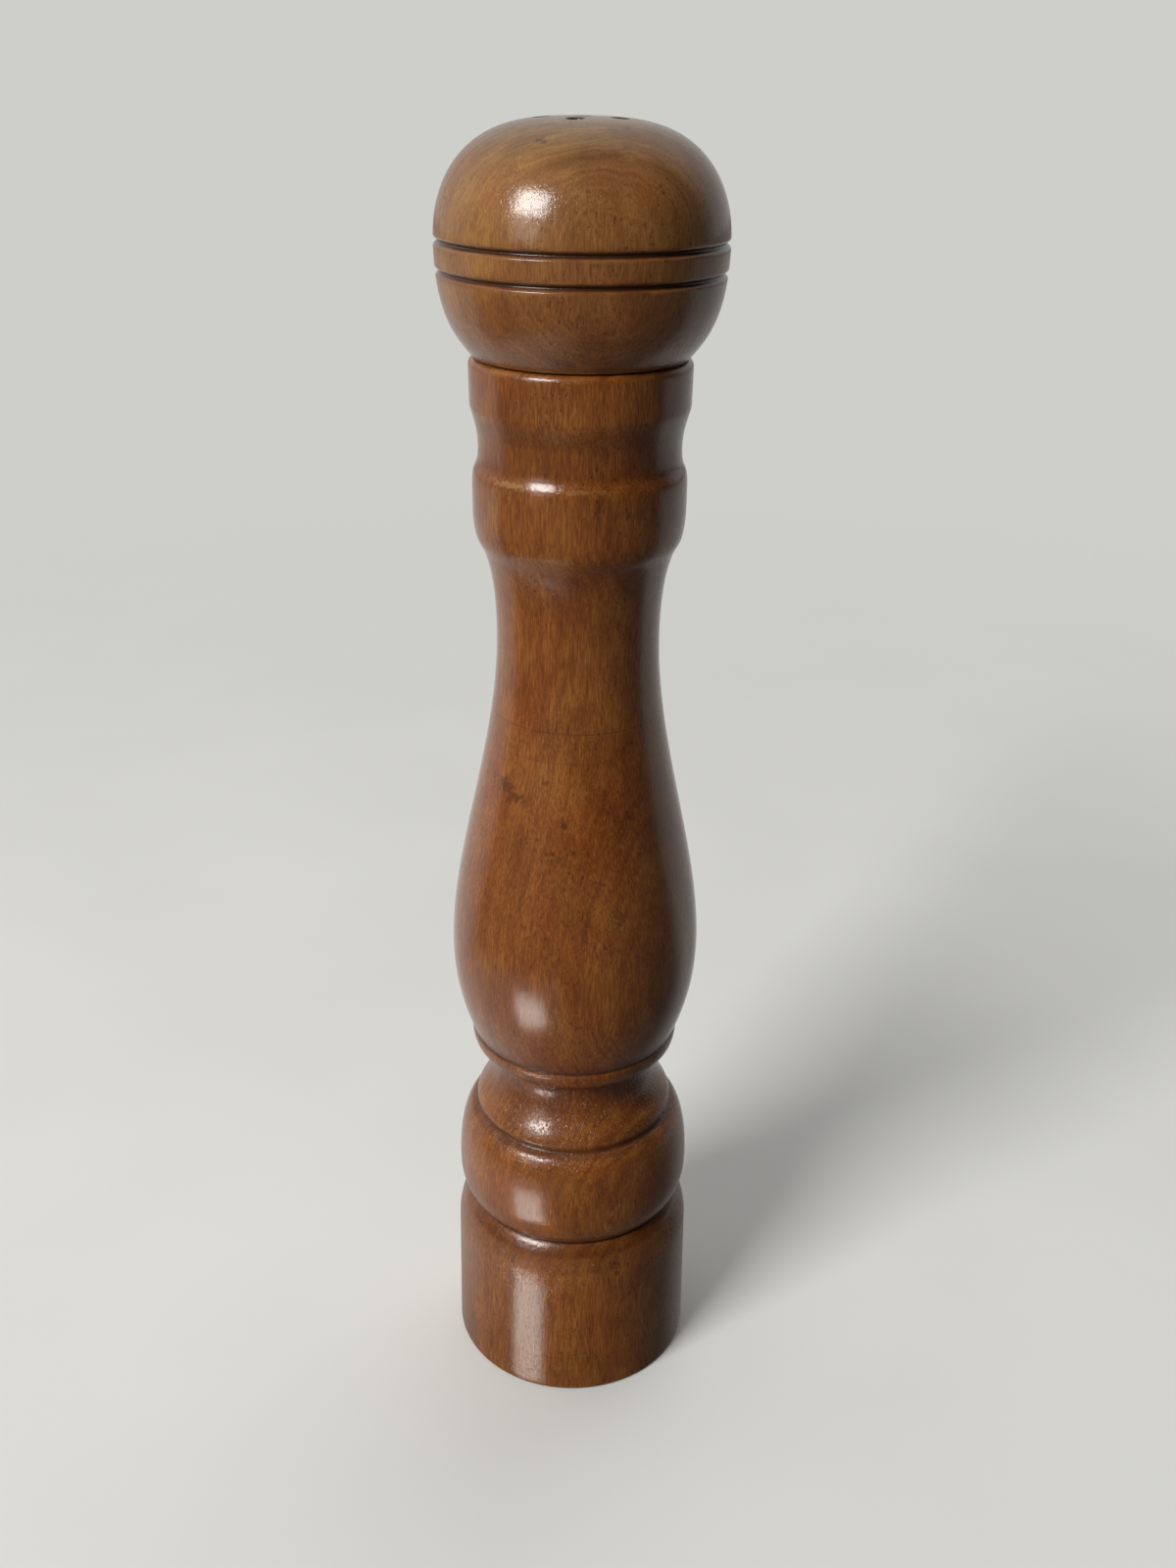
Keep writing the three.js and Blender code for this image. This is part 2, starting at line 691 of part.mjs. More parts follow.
function tenonPlug() {
  const topZ = headBottomZ + plugSeatHeight;
  const seatRadius = saltRadius - glueGap;
  const groove = ringInnerRadius - pushGap;
  const outline = [
    point(0, plugBottomZ),
    point(tenonRadius, plugBottomZ),
    point(tenonRadius, ringTopZ - ringHeight - runGap),
    point(groove, ringTopZ - ringHeight - runGap),
    point(groove, ringTopZ + runGap),
    point(tenonRadius, ringTopZ + runGap),
    point(tenonRadius, headBottomZ - seatGap),
    point(seatRadius, headBottomZ),
    point(seatRadius, topZ),
    point(0, topZ),
  ];
  const socket = bar(socketRadius, plugBottomZ - 1, plugBottomZ + socketHeight, narrowFacets);
  const filler = bar(fillerRadius, plugBottomZ - 1, topZ + 1, narrowFacets).translate(0, fillerOffset, 0);
  const pilots = [-1, 1].map((side) =>
    bar(plateScrewRadius + glueGap, plugBottomZ - 1, plateBottomZ + plateScrewLength + 1, screwFacets)
      .translate(side * plateScrewOffset, 0, 0),
  );
  return cut(turned(outline, wideFacets), [socket, filler, ...pilots]);
}

function tenonRing() {
  const shape = new THREE.Shape();
  shape.absarc(0, 0, ringOuterRadius, ringSlit, 2 * Math.PI - ringSlit);
  shape.absarc(0, 0, ringInnerRadius, 2 * Math.PI - ringSlit, ringSlit, true);
  return plate(shape, ringTopZ - ringHeight, ringHeight, wideFacets);
}

function drivePlate() {
  const shape = strapShape(plateLength, plateWidth);
  const low = plateBottomZ;
  const hole = squareBar(shaftSide + 2 * runGap, low - 1, low + plateThickness + 1);
  const screwHoles = [-1, 1].map((side) =>
    bar(plateScrewRadius + 2 * glueGap, low - 1, low + plateThickness + 1, screwFacets)
      .translate(side * plateScrewOffset, 0, 0),
  );
  return cut(plate(shape, low, plateThickness, strapFacets), [hole, ...screwHoles]);
}

function saltStopper() {
  const flangeRadiusHere = fillerRadius + stopperFlange;
  const plugRadius = fillerRadius - glueGap;
  const seatZ = plugBottomZ - seatGap;
  const outline = [
    point(0, seatZ - stopperFlangeHeight),
    point(flangeRadiusHere, seatZ - stopperFlangeHeight),
    point(flangeRadiusHere, seatZ),
    point(plugRadius, seatZ),
    point(plugRadius, seatZ + stopperLength - 1),
    point(plugRadius - 1, seatZ + stopperLength),
    point(0, seatZ + stopperLength),
  ];
  return turned(outline, narrowFacets);
}

// ---------------------------------------------------------------- assembly
const mill = new THREE.Group();

function add(name, geometry, pieceMaterial, x = 0, y = 0, z = 0) {
  const mesh = new THREE.Mesh(geometry, pieceMaterial);
  mesh.name = name;
  mesh.position.set(x, y, z);
  mill.add(mesh);
}

add("mill_body", millBody(), stainedWood);
add("burr_housing", burrHousing(), castZinc);
add("stator_burr", statorBurr(), darkSteel);
add("bottom_bridge", bottomBridge(), steel);
add("rotor_burr", rotorBurr(), darkSteel);
add("drive_shaft", driveShaft(), aluminium);
add("rotor_pin", pinBar(pinRadius, 2 * hubRadius - 2 * glueGap), steel);
add("thrust_ball", cleaned(new THREE.SphereGeometry(ballRadius, 16, 8)), steel, 0, 0, ballZ);
add("spring_washer", springWasher(), steel);
add("grind_spring", grindSpring(), steel);
add("thumb_screw", thumbScrew(), brass);
add("head_shell", headShell(), stainedWood);
add("tenon_plug", tenonPlug(), plugWood);
add("tenon_ring", tenonRing(), nylon);
add("drive_plate", drivePlate(), steel);
add("salt_stopper", saltStopper(), rubber, 0, fillerOffset, 0);

[-1, 1].forEach((side, i) => {
  const bridgeScrew = panScrew(screwRadius, screwHeadRadius, screwHeadHeight, screwLength);
  add(`bridge_screw_${i + 1}`, bridgeScrew, steel, side * screwCircle, 0, bridgeBottomZ - pushGap);
  const plateScrew = panScrew(plateScrewRadius, plateScrewHeadRadius, plateScrewHeadHeight, plateScrewLength);
  add(`plate_screw_${i + 1}`, plateScrew, steel, side * plateScrewOffset, 0, plateBottomZ - pushGap);
});

export default mill;
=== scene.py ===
import math

import bmesh
import bpy
import numpy as np
from mathutils import Matrix, Vector
from mathutils.geometry import delaunay_2d_cdt


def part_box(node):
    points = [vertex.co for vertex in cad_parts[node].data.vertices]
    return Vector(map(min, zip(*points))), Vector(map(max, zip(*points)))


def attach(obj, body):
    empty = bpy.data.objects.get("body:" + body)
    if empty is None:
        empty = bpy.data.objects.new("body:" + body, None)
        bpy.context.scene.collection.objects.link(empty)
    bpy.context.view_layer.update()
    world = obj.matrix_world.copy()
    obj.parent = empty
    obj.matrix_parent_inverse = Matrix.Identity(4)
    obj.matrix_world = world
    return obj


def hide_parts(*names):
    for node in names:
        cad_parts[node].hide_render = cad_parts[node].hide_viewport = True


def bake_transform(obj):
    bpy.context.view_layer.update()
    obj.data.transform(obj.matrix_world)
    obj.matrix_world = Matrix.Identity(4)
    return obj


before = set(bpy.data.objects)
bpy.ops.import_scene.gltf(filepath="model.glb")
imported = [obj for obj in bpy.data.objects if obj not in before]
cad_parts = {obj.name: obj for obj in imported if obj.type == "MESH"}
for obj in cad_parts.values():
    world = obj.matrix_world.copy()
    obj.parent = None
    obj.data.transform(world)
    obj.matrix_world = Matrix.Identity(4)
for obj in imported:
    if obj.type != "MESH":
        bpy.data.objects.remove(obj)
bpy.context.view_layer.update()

MM = 0.001


def top_of(node):
    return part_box(node)[1].z / MM


def bottom_of(node):
    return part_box(node)[0].z / MM


def ends_of(node):
    """The heights of a CAD node's lowest and highest points."""
    return bottom_of(node), top_of(node)


def reach_of(node):
    """How far a CAD node reaches to the right of the mill's axis."""
    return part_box(node)[1].x / MM


def middle_of(node, axis):
    """The middle of a CAD node along X (0), Y (1) or Z (2)."""
    low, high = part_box(node)
    return (low[axis] + high[axis]) / 2 / MM


# ------------------------------------------------------------------ sizes, in millimetres
BODY_TOP = top_of("mill_body")
HEAD_BOTTOM = bottom_of("head_shell")
HEAD_TOP = 300.0  # of the smooth dome, which the CAD's facets stay just under
FOOT_RADIUS, HEAD_RADIUS = reach_of("mill_body"), reach_of("head_shell")
RECESS_RADIUS, RECESS_DEPTH = 22.0, 14.0
BURR_BORE_RADIUS, BURR_BORE_TOP = 15.5, 44.0
CHAMBER_RADIUS = 13.0
TENON_BORE_RADIUS, TENON_BORE_DEPTH = 18.25, 16.0
SALT_RADIUS, SALT_ROUND, CROWN_WALL = 18.0, 5.0, 6.0
SHAKER_HOLE_RADIUS, SHAKER_RING_RADIUS, SHAKER_RING_COUNT = 1.65, 8.0, 5
SHAKER_RING_PHASE = math.radians(-101)
SHAKER_EDGE = 0.45  # worn round on the rim of each shaker hole
CROWN_REACH = 12.0  # radius of the crown's patch that holds the shaker holes
TORUS_CREASE, COLLAR_CREASE = 71.3, BODY_TOP - 39.0  # heights
HEAD_GROOVES = (HEAD_BOTTOM + 16.5, HEAD_BOTTOM + 22.2)  # heights
GROOVE_WIDTH, GROOVE_DEPTH = 1.7, 0.9
TURN_SEGMENTS = 256
OUTLINE_STEP = 0.08  # between the points of an outline while its corners are rounded
BLUR_SHARE = 0.7  # of a corner's radius: the blur that gives it that radius
SHARP_ANGLE = math.radians(38)  # a sharper edge isn't shaded smooth
MERGE_DISTANCE = 2e-7  # in metres, between corners that count as one


# ------------------------------------------------------------------ outlines
def bezier(a, b, c, d, steps):
    """Points of a cubic curve after its first one."""
    t = np.linspace(0, 1, steps + 1)[1:, None]
    a, b, c, d = (np.array(p, float) for p in (a, b, c, d))
    curve = a * (1 - t) ** 3 + 3 * b * t * (1 - t) ** 2 + 3 * c * t**2 * (1 - t) + d * t**3
    return [tuple(p) for p in curve]


def quarter(a, b, upright, steps=24, fullness=2.0, rise_fullness=None):
    """A quarter of an oval from a to b, upright at its first or last end; 2 makes an ellipse."""
    angles = np.linspace(0, math.pi / 2, steps + 1)[1:]
    sine, cosine = np.sin(angles), np.abs(np.cos(angles))
    wide, tall = 2 / fullness, 2 / (rise_fullness or fullness)
    across = 1 - cosine**wide if upright == "first" else sine**wide
    along = sine**tall if upright == "first" else 1 - cosine**tall
    return [(a[0] + (b[0] - a[0]) * u, a[1] + (b[1] - a[1]) * v) for u, v in zip(across, along)]


def ease(a, b, pull, steps=24):
    """A curve that leaves a and reaches b upright."""
    reach = pull * (b[1] - a[1])
    return bezier(a, (a[0], a[1] + reach), (b[0], b[1] - reach), b, steps)


def resampled(points, step):
    """An outline's points at even distances along it."""
    points = np.array(points, float)
    lengths = np.hypot(*np.diff(points, axis=0).T)
    keep = np.concatenate([[True], lengths > 1e-9])
    points, along = points[keep], np.concatenate([[0], np.cumsum(lengths[lengths > 1e-9])])
    count = max(int(round(along[-1] / step)), 2)
    at = np.linspace(0, along[-1], count + 1)
    return np.stack([np.interp(at, along, points[:, k]) for k in (0, 1)], axis=1)


def blurred(values, sigma):
    """Gaussian blur along the first axis, with the ends held."""
    reach = max(int(4 * sigma), 1)
    kernel = np.exp(-0.5 * (np.arange(-reach, reach + 1) / sigma) ** 2)
    kernel /= kernel.sum()
    columns = values[:, None] if values.ndim == 1 else values
    low = 2 * columns[0] - columns[reach:0:-1]
    high = 2 * columns[-1] - columns[-2 : -reach - 2 : -1]
    padded = np.vstack([low, columns, high])
    done = np.stack([np.convolve(c, kernel, "valid") for c in padded.T], axis=1)
    return done[:, 0] if values.ndim == 1 else done


def softened(points, radius, soft_places=(), step=OUTLINE_STEP):
    """The outline with every corner rounded to about this radius, and to a wider one around
    each soft place: its height, how far it reaches, and its radius."""
    even = resampled(points, step)
    soft = blurred(even, radius / step * BLUR_SHARE)
    for height, reach, wide_radius in soft_places:
        share = np.exp(-(((even[:, 1] - height) / reach) ** 2))[:, None]
        soft = soft * (1 - share) + blurred(even, wide_radius / step * BLUR_SHARE) * share
    return soft


def turning(points):
    """Signed curvature along an outline, in 1/mm: positive where a rising outline bulges out."""
    heading = np.unwrap(np.arctan2(*np.gradient(points, axis=0).T[::-1]))
    length = np.hypot(*np.gradient(points, axis=0).T)
    return np.gradient(heading) / np.maximum(length, 1e-9)


def thinned(points, marks, max_step, max_turn):
    """Fewer points, closer together where the outline bends: about one for each step in
    millimetres and one for each turn in degrees."""
    steps = np.hypot(*np.diff(points, axis=0).T)
    bend = np.abs(turning(points))[1:] * steps
    effort = np.concatenate([[0], np.cumsum(steps / max_step + bend / math.radians(max_turn))])
    wanted = np.linspace(0, effort[-1], int(math.ceil(effort[-1])) + 1)
    chosen = np.unique(np.searchsorted(effort, wanted - 1e-9).clip(0, len(points) - 1))
    return points[chosen], {name: values[chosen] for name, values in marks.items()}


def marked(points, crease_width=0.40):
    """How far each outline point is in a crease, in a wide hollow and on an edge, from 0 to 1."""
    bend = turning(points)
    found = {}
    for name, values, width, full_bend in (
        ("crease", np.maximum(-bend, 0), crease_width, 0.9),
        ("hollow", -bend, 2.0, 0.12),
        ("edge", np.maximum(bend, 0), 0.30, 1.0),
    ):
        found[name] = np.clip(blurred(values, width / OUTLINE_STEP) / full_bend, 0, 1)
    return found


def turned_edges(points, radius):
    """An outline of a small turned piece, with every corner rounded."""
    return thinned(softened(points, radius, step=radius / 4), {}, max_step=1.5, max_turn=15.0)[0]


# ------------------------------------------------------------------ outlines seen from above
def round_loop(radius, count=48, at=(0.0, 0.0)):
    angles = 2 * math.pi * np.arange(count) / count
    return np.column_stack([at[0] + radius * np.cos(angles), at[1] + radius * np.sin(angles)])


def twin_loops(radius, x, count=32):
    """Two round loops on the X axis, each at the same distance from the mill's axis."""
    return [round_loop(radius, count, (side * x, 0.0)) for side in (-1, 1)]


def arc(radius, start, end, count, at=(0.0, 0.0)):
    angles = np.linspace(start, end, count)
    return [(at[0] + radius * math.cos(a), at[1] + radius * math.sin(a)) for a in angles]


def strap_loop(length, width, count=32):
    """A strap with round ends along the X axis."""
    reach, quarter_turn = (length - width) / 2, math.pi / 2
    right = arc(width / 2, -quarter_turn, quarter_turn, count, (reach, 0.0))
    left = arc(width / 2, quarter_turn, 3 * quarter_turn, count, (-reach, 0.0))
    return np.array(right + left)


def square_loop(side, corner, count=7):
    """A square about the axis with rounded corners."""
    reach = side / 2 - corner
    points = []
    for turn, (x, y) in enumerate([(1, 1), (-1, 1), (-1, -1), (1, -1)]):
        start = turn * math.pi / 2
        points += arc(corner, start, start + math.pi / 2, count, (x * reach, y * reach))
    return np.array(points)


def inset(loop, distance):
    """The loop moved to the left of its way round: inwards when it runs counter-clockwise."""
    onward = np.roll(loop, -1, axis=0) - loop
    onward = onward / np.hypot(*onward.T)[:, None]
    left = np.column_stack([-onward[:, 1], onward[:, 0]])
    both = left + np.roll(left, 1, axis=0)
    return loop + distance * both * (2 / (both**2).sum(axis=1))[:, None]


def raised(points, height):
    """Flat points lifted to a height, which may be a function of the radius."""
    z = height(np.hypot(*points.T)) if callable(height) else np.full(len(points), float(height))
    return np.column_stack([points, z])


def inside(points, loop):
    """Which points lie inside a loop."""
    x, y = points[:, :1], points[:, 1:]
    (ax, ay), (bx, by) = loop.T, np.roll(loop, -1, axis=0).T
    crosses = (ay > y) != (by > y)
    rise = np.where(by == ay, 1.0, by - ay)
    return (crosses & (x < ax + (y - ay) * (bx - ax) / rise)).sum(axis=1) % 2 == 1


def root_round(across, height, size, steps=5):
    """A round from a floor at a height up to a wall at a distance across: (distance, height) points."""
    turns = np.linspace(0, math.pi / 2, steps + 1)
    return [(across + size * (1 - math.sin(t)), height + size * (1 - math.cos(t))) for t in turns]


def round_edges(low, high, edge):
    """A profile of (inset, height) up a wall whose two edges are rounded."""
    foot = root_round(0.0, low, edge, 4)
    return foot + [(distance, low + high - z) for distance, z in reversed(foot)]


# ------------------------------------------------------------------ mesh building
def smoothed(mesh):
    """Shades a mesh smooth, up to its sharp edges."""
    mesh.shade_smooth()
    mesh.set_sharp_from_angle(angle=SHARP_ANGLE)


def placed_object(name, data):
    """Adds an object to the scene."""
    made = bpy.data.objects.new(name, data)
    bpy.context.scene.collection.objects.link(made)
    return made


class Shell:
    """Vertices, faces, marks and material numbers that are collected into one mesh."""

    def __init__(self):
        self.vertices, self.faces, self.indices = [], [], []
        self.marks = {"crease": [], "hollow": [], "edge": []}

    def add(self, vertices, faces, index=0, marks=None):
        start = len(self.vertices)
        self.vertices += [tuple(v) for v in vertices]
        self.faces += [[start + i for i in face] for face in faces]
        self.indices += [index] * len(faces)
        for name, values in self.marks.items():
            values += list((marks or {}).get(name, np.zeros(len(vertices))))
        return self

    def turned(self, outline, segments=TURN_SEGMENTS, index=0, marks=None, relief=None, lean=None):
        """Adds an outline of (radius, height) points turned about the mill's axis. `relief` gives
        the radius at each angle, radius and height, and `lean` an angle to add at each radius
        and height."""
        outline = np.asarray(outline, float)
        angles = (2 * math.pi * np.arange(segments) / segments)[:, None]
        rings = len(outline)
        radii, heights = outline[None, :, 0], outline[None, :, 1]
        reach = relief(angles, radii, heights) if relief else radii + 0 * angles
        ways = angles + (lean(radii, heights) if lean else 0 * heights)
        x, y = reach * np.cos(ways), reach * np.sin(ways)
        vertices = np.stack([x, y, np.tile(heights, (segments, 1))], axis=-1).reshape(-1, 3)
        faces = []
        for j in range(segments):
            here, there = j * rings, (j + 1) % segments * rings
            for i in range(rings - 1):
                faces.append((here + i, there + i, there + i + 1, here + i + 1))
        spread = {name: np.tile(values, segments) for name, values in (marks or {}).items()}
        return self.add(vertices, faces, index, spread)

    def swept(self, loop, profile, crease=0.0):
        """Adds the band that a profile of (inset, height) points traces along a loop. A height may
        be a function of the radius, and `crease` may be a value for each profile point."""
        return self.lofted([raised(inset(loop, distance), height) for distance, height in profile], crease)

    def lofted(self, rings, crease=0.0):
        """Adds the band between rings that have the same number of points."""
        faces, count = [], len(rings[0])
        for row in range(len(rings) - 1):
            for i in range(count):
                j = (i + 1) % count
                faces.append([row * count + k for k in (i, j, j + count, i + count)])
        creases = np.repeat(np.broadcast_to(crease, len(rings)), count)
        return self.add(np.vstack(rings), faces, marks={"crease": creases})

    def capped(self, loop, holes, height, up=True, spacing=None, index=0):
        """Adds a face inside a loop and outside its holes. A height may be a function of the
        radius, and then `spacing` sets the distance between the points inside."""
        loops = [np.asarray(one, float) for one in (loop, *holes)]
        points, edges = np.vstack(loops), []
        for one in loops:
            start = len(edges)
            edges += [(start + i, start + (i + 1) % len(one)) for i in range(len(one))]
        if spacing:
            reach = np.abs(loops[0]).max()
            x, y = np.meshgrid(*2 * [np.arange(-reach, reach + spacing, spacing)])
            x[1::2] += spacing / 2
            grid = np.column_stack([x.ravel(), y.ravel()])
            away = np.hypot(*(grid[:, None, :] - points[None, :, :]).transpose(2, 0, 1)).min(axis=1)
            grid = grid[away > 0.6 * spacing]
            points = np.vstack([points, grid[self.within(grid, loops)]])
        made = delaunay_2d_cdt([Vector(p) for p in points], edges, [], 1, 1e-6)
        flat, triangles = np.array([tuple(p) for p in made[0]]), made[2]
        kept = self.within(flat[np.array(triangles)].mean(axis=1), loops)
        faces = [list(t) if up else list(t)[::-1] for t, keep in zip(triangles, kept) if keep]
        return self.add(raised(flat, height), faces, index)

    @staticmethod
    def within(points, loops):
        """Which points lie inside the first loop and outside the others."""
        kept = inside(points, loops[0])
        for hole in loops[1:]:
            kept &= ~inside(points, hole)
        return kept

    def slab(self, loop, holes, low, high, edge, low_openings=(), high_openings=()):
        """Adds a plate with rounded edges. Openings are loops left open in one face only."""
        walls = [loop] + [hole[::-1] for hole in holes]
        for wall in walls:
            self.swept(wall, round_edges(low, high, edge))
        faces = [inset(wall, edge) for wall in walls]
        self.capped(faces[0], faces[1:] + list(low_openings), low, up=False)
        return self.capped(faces[0], faces[1:] + list(high_openings), high)

    def placed(self, matrix):
        """Moves the vertices added so far."""
        self.vertices = [tuple(matrix @ Vector(v)) for v in self.vertices]
        return self

    def mesh(self, name, materials=()):
        """The shell as a mesh, in metres, with the corners that meet merged."""
        mesh = bpy.data.meshes.new(name)
        mesh.from_pydata((np.array(self.vertices) * MM).tolist(), [], self.faces)
        for mark, values in self.marks.items():
            layer = mesh.attributes.new(mark, "FLOAT", "POINT")
            layer.data.foreach_set("value", np.array(values, np.float32))
        for material in materials:
            mesh.materials.append(material)
        mesh.polygons.foreach_set("material_index", np.array(self.indices, np.int32))
        solid = bmesh.new()
        solid.from_mesh(mesh)
        bmesh.ops.remove_doubles(solid, verts=solid.verts, dist=MERGE_DISTANCE)
        solid.to_mesh(mesh)
        solid.free()
        return mesh

    def piece(self, name, body, nodes, slot, materials):
        """Makes a piece that rides on a body and stands for CAD nodes. One given no body here is left
        unattached."""
        piece = placed_object(name, self.mesh(name, materials))
        smoothed(piece.data)
        if body:
            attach(piece, body)
        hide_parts(*nodes)
        return piece


# ------------------------------------------------------------------ material helpers
class Value:
    """A node's output, which can be added, subtracted and multiplied like a number."""

    def __init__(self, graph, socket):
        self.graph, self.socket = graph, socket

    def combined(self, operation, a, b):
        node = self.graph.vector if self.socket.type == "VECTOR" else self.graph.math
        return node(operation, a, b)

    def __add__(self, other):
        return self.combined("ADD", self, other)

    def __sub__(self, other):
        return self.combined("SUBTRACT", self, other)

    def __rsub__(self, other):
        return self.combined("SUBTRACT", other, self)

    def __mul__(self, other):
        return self.combined("MULTIPLY", self, other)

    __radd__, __rmul__ = __add__, __mul__


class Graph:
    """A node tree, built with short calls that each add a node and give its output."""

    def __init__(self, tree):
        self.tree = tree

    def feed(self, socket, value):
        """Links or sets an input. A colour is given by three numbers."""
        if isinstance(value, Value):
            self.tree.links.new(value.socket, socket)
        elif socket.type == "RGBA":
            socket.default_value = (*value, 1.0)
        else:
            socket.default_value = value

    def node(self, kind, inputs=None, output=0, **settings):
        node = self.tree.nodes.new("ShaderNode" + kind)
        for name, setting in settings.items():
            setattr(node, name, setting)
        for key, value in (inputs or {}).items():
            self.feed(node.inputs[key], value)
        return Value(self, node.outputs[output])

    def math(self, operation, *values):
        return self.node("Math", dict(enumerate(values)), operation=operation)

    def vector(self, operation, *values):
        output = "Value" if operation in ("LENGTH", "DOT_PRODUCT") else "Vector"
        return self.node("VectorMath", dict(enumerate(values)), output, operation=operation)

    def noise(self, vector, scale, detail=3.0, roughness=0.5):
        """Noise whose scale along each axis is given in cells per millimetre."""
        inputs = {"Vector": vector * scale, "Scale": 1.0, "Detail": detail, "Roughness": roughness}
        return self.node("TexNoise", inputs, "Fac")

    def range(self, value, low, high, to_low=0.0, to_high=1.0, kind="SMOOTHSTEP"):
        inputs = {"Value": value, "From Min": low, "From Max": high, "To Min": to_low, "To Max": to_high}
        return self.node("MapRange", inputs, "Result", interpolation_type=kind)

    def mix(self, factor, a, b, blend="MIX"):
        """Mixes two colours."""
        return self.node("Mix", {0: factor, 6: a, 7: b}, 2, data_type="RGBA", blend_type=blend)

    def mark(self, name):
        """One of the marks on the mesh."""
        return self.node("Attribute", output="Fac", attribute_name=name)

    def parts(self, vector):
        """The X, Y and Z of a vector."""
        node = self.node("SeparateXYZ", {0: vector}).socket.node
        return [Value(self, output) for output in node.outputs]

    def bump(self, height, depth):
        """A normal for a height from 0 to 1 and the millimetres that 1 stands for."""
        return self.node("Bump", {"Height": height, "Distance": depth * MM}, "Normal")

    def strongest(self, masks):
        total = masks[0]
        for mask in masks[1:]:
            total = self.math("MAXIMUM", total, mask)
        return total


class Material(Graph):
    """A material's node tree, with the place and height of each point in millimetres."""

    def __init__(self, name):
        self.material = bpy.data.materials.new(name)
        self.material.use_nodes = True
        super().__init__(self.material.node_tree)
        self.place = self.node("TexCoord", output="Object") * (1 / MM, 1 / MM, 1 / MM)
        self.height = self.parts(self.place)[2]

    def finished(self, **values):
        """Sets the shader's inputs and gives the material."""
        for name, value in values.items():
            self.feed(self.tree.nodes["Principled BSDF"].inputs[name.replace("_", " ")], value)
        return self.material


# ------------------------------------------------------------------ wood
def wood_fibres(g, place, seed, pith):
    """Grain of an upright block: fibres, broad streaks, pores and growth rings, each 0 to 1.
    Fibres show on the block's sides and growth rings on its end grain."""
    centre = (pith[0] + seed[0], pith[1] + seed[1], 0.0)
    sway = g.noise(place, (0.05, 0.05, 0.02), 2.0)
    swayed = place + g.vector("MULTIPLY", sway, (3.0, 3.0, 0.0))
    fine = g.noise(swayed, (3.0, 3.0, 0.24), roughness=0.6)
    broad = g.noise(swayed, (0.50, 0.50, 0.030), roughness=0.55)
    pores = g.noise(swayed, (3.6, 3.6, 0.75), 1.0)
    flat = (swayed - centre) * (1.0, 1.0, 0.03)
    wander = g.noise(place, (0.09, 0.09, 0.03), 2.0)
    across = g.node("CombineXYZ", {"X": g.vector("LENGTH", flat) * 1.1 + wander * 5.0, "Y": wander * 4.0})
    rings = g.range(g.noise(across, (1.0, 1.0, 1.0), roughness=0.6), 0.34, 0.66)
    return fine, broad, pores, rings


def spots(g, blemishes):
    """Ragged spots: each blemish is a centre, its half width and half height, and a strength."""
    ragged = g.noise(g.place, (1.6, 1.6, 1.2)) * 3.2 - 1.6
    masks = []
    for centre, (wide, tall), strength in blemishes:
        reach = g.vector("LENGTH", (g.place - centre) * (1 / wide, 1 / wide, 1 / tall))
        masks.append(g.range(reach + ragged, 1.0, 0.4) * strength)
    return g.strongest(masks)


def bands(g, rings):
    """Rings about the axis: each has a height, a half width and a strength."""
    away = [g.math("ABSOLUTE", g.height - z) for z, _, _ in rings]
    return g.strongest([
        g.range(distance, width, 0.3 * width) * strength
        for distance, (_, width, strength) in zip(away, rings)
    ])


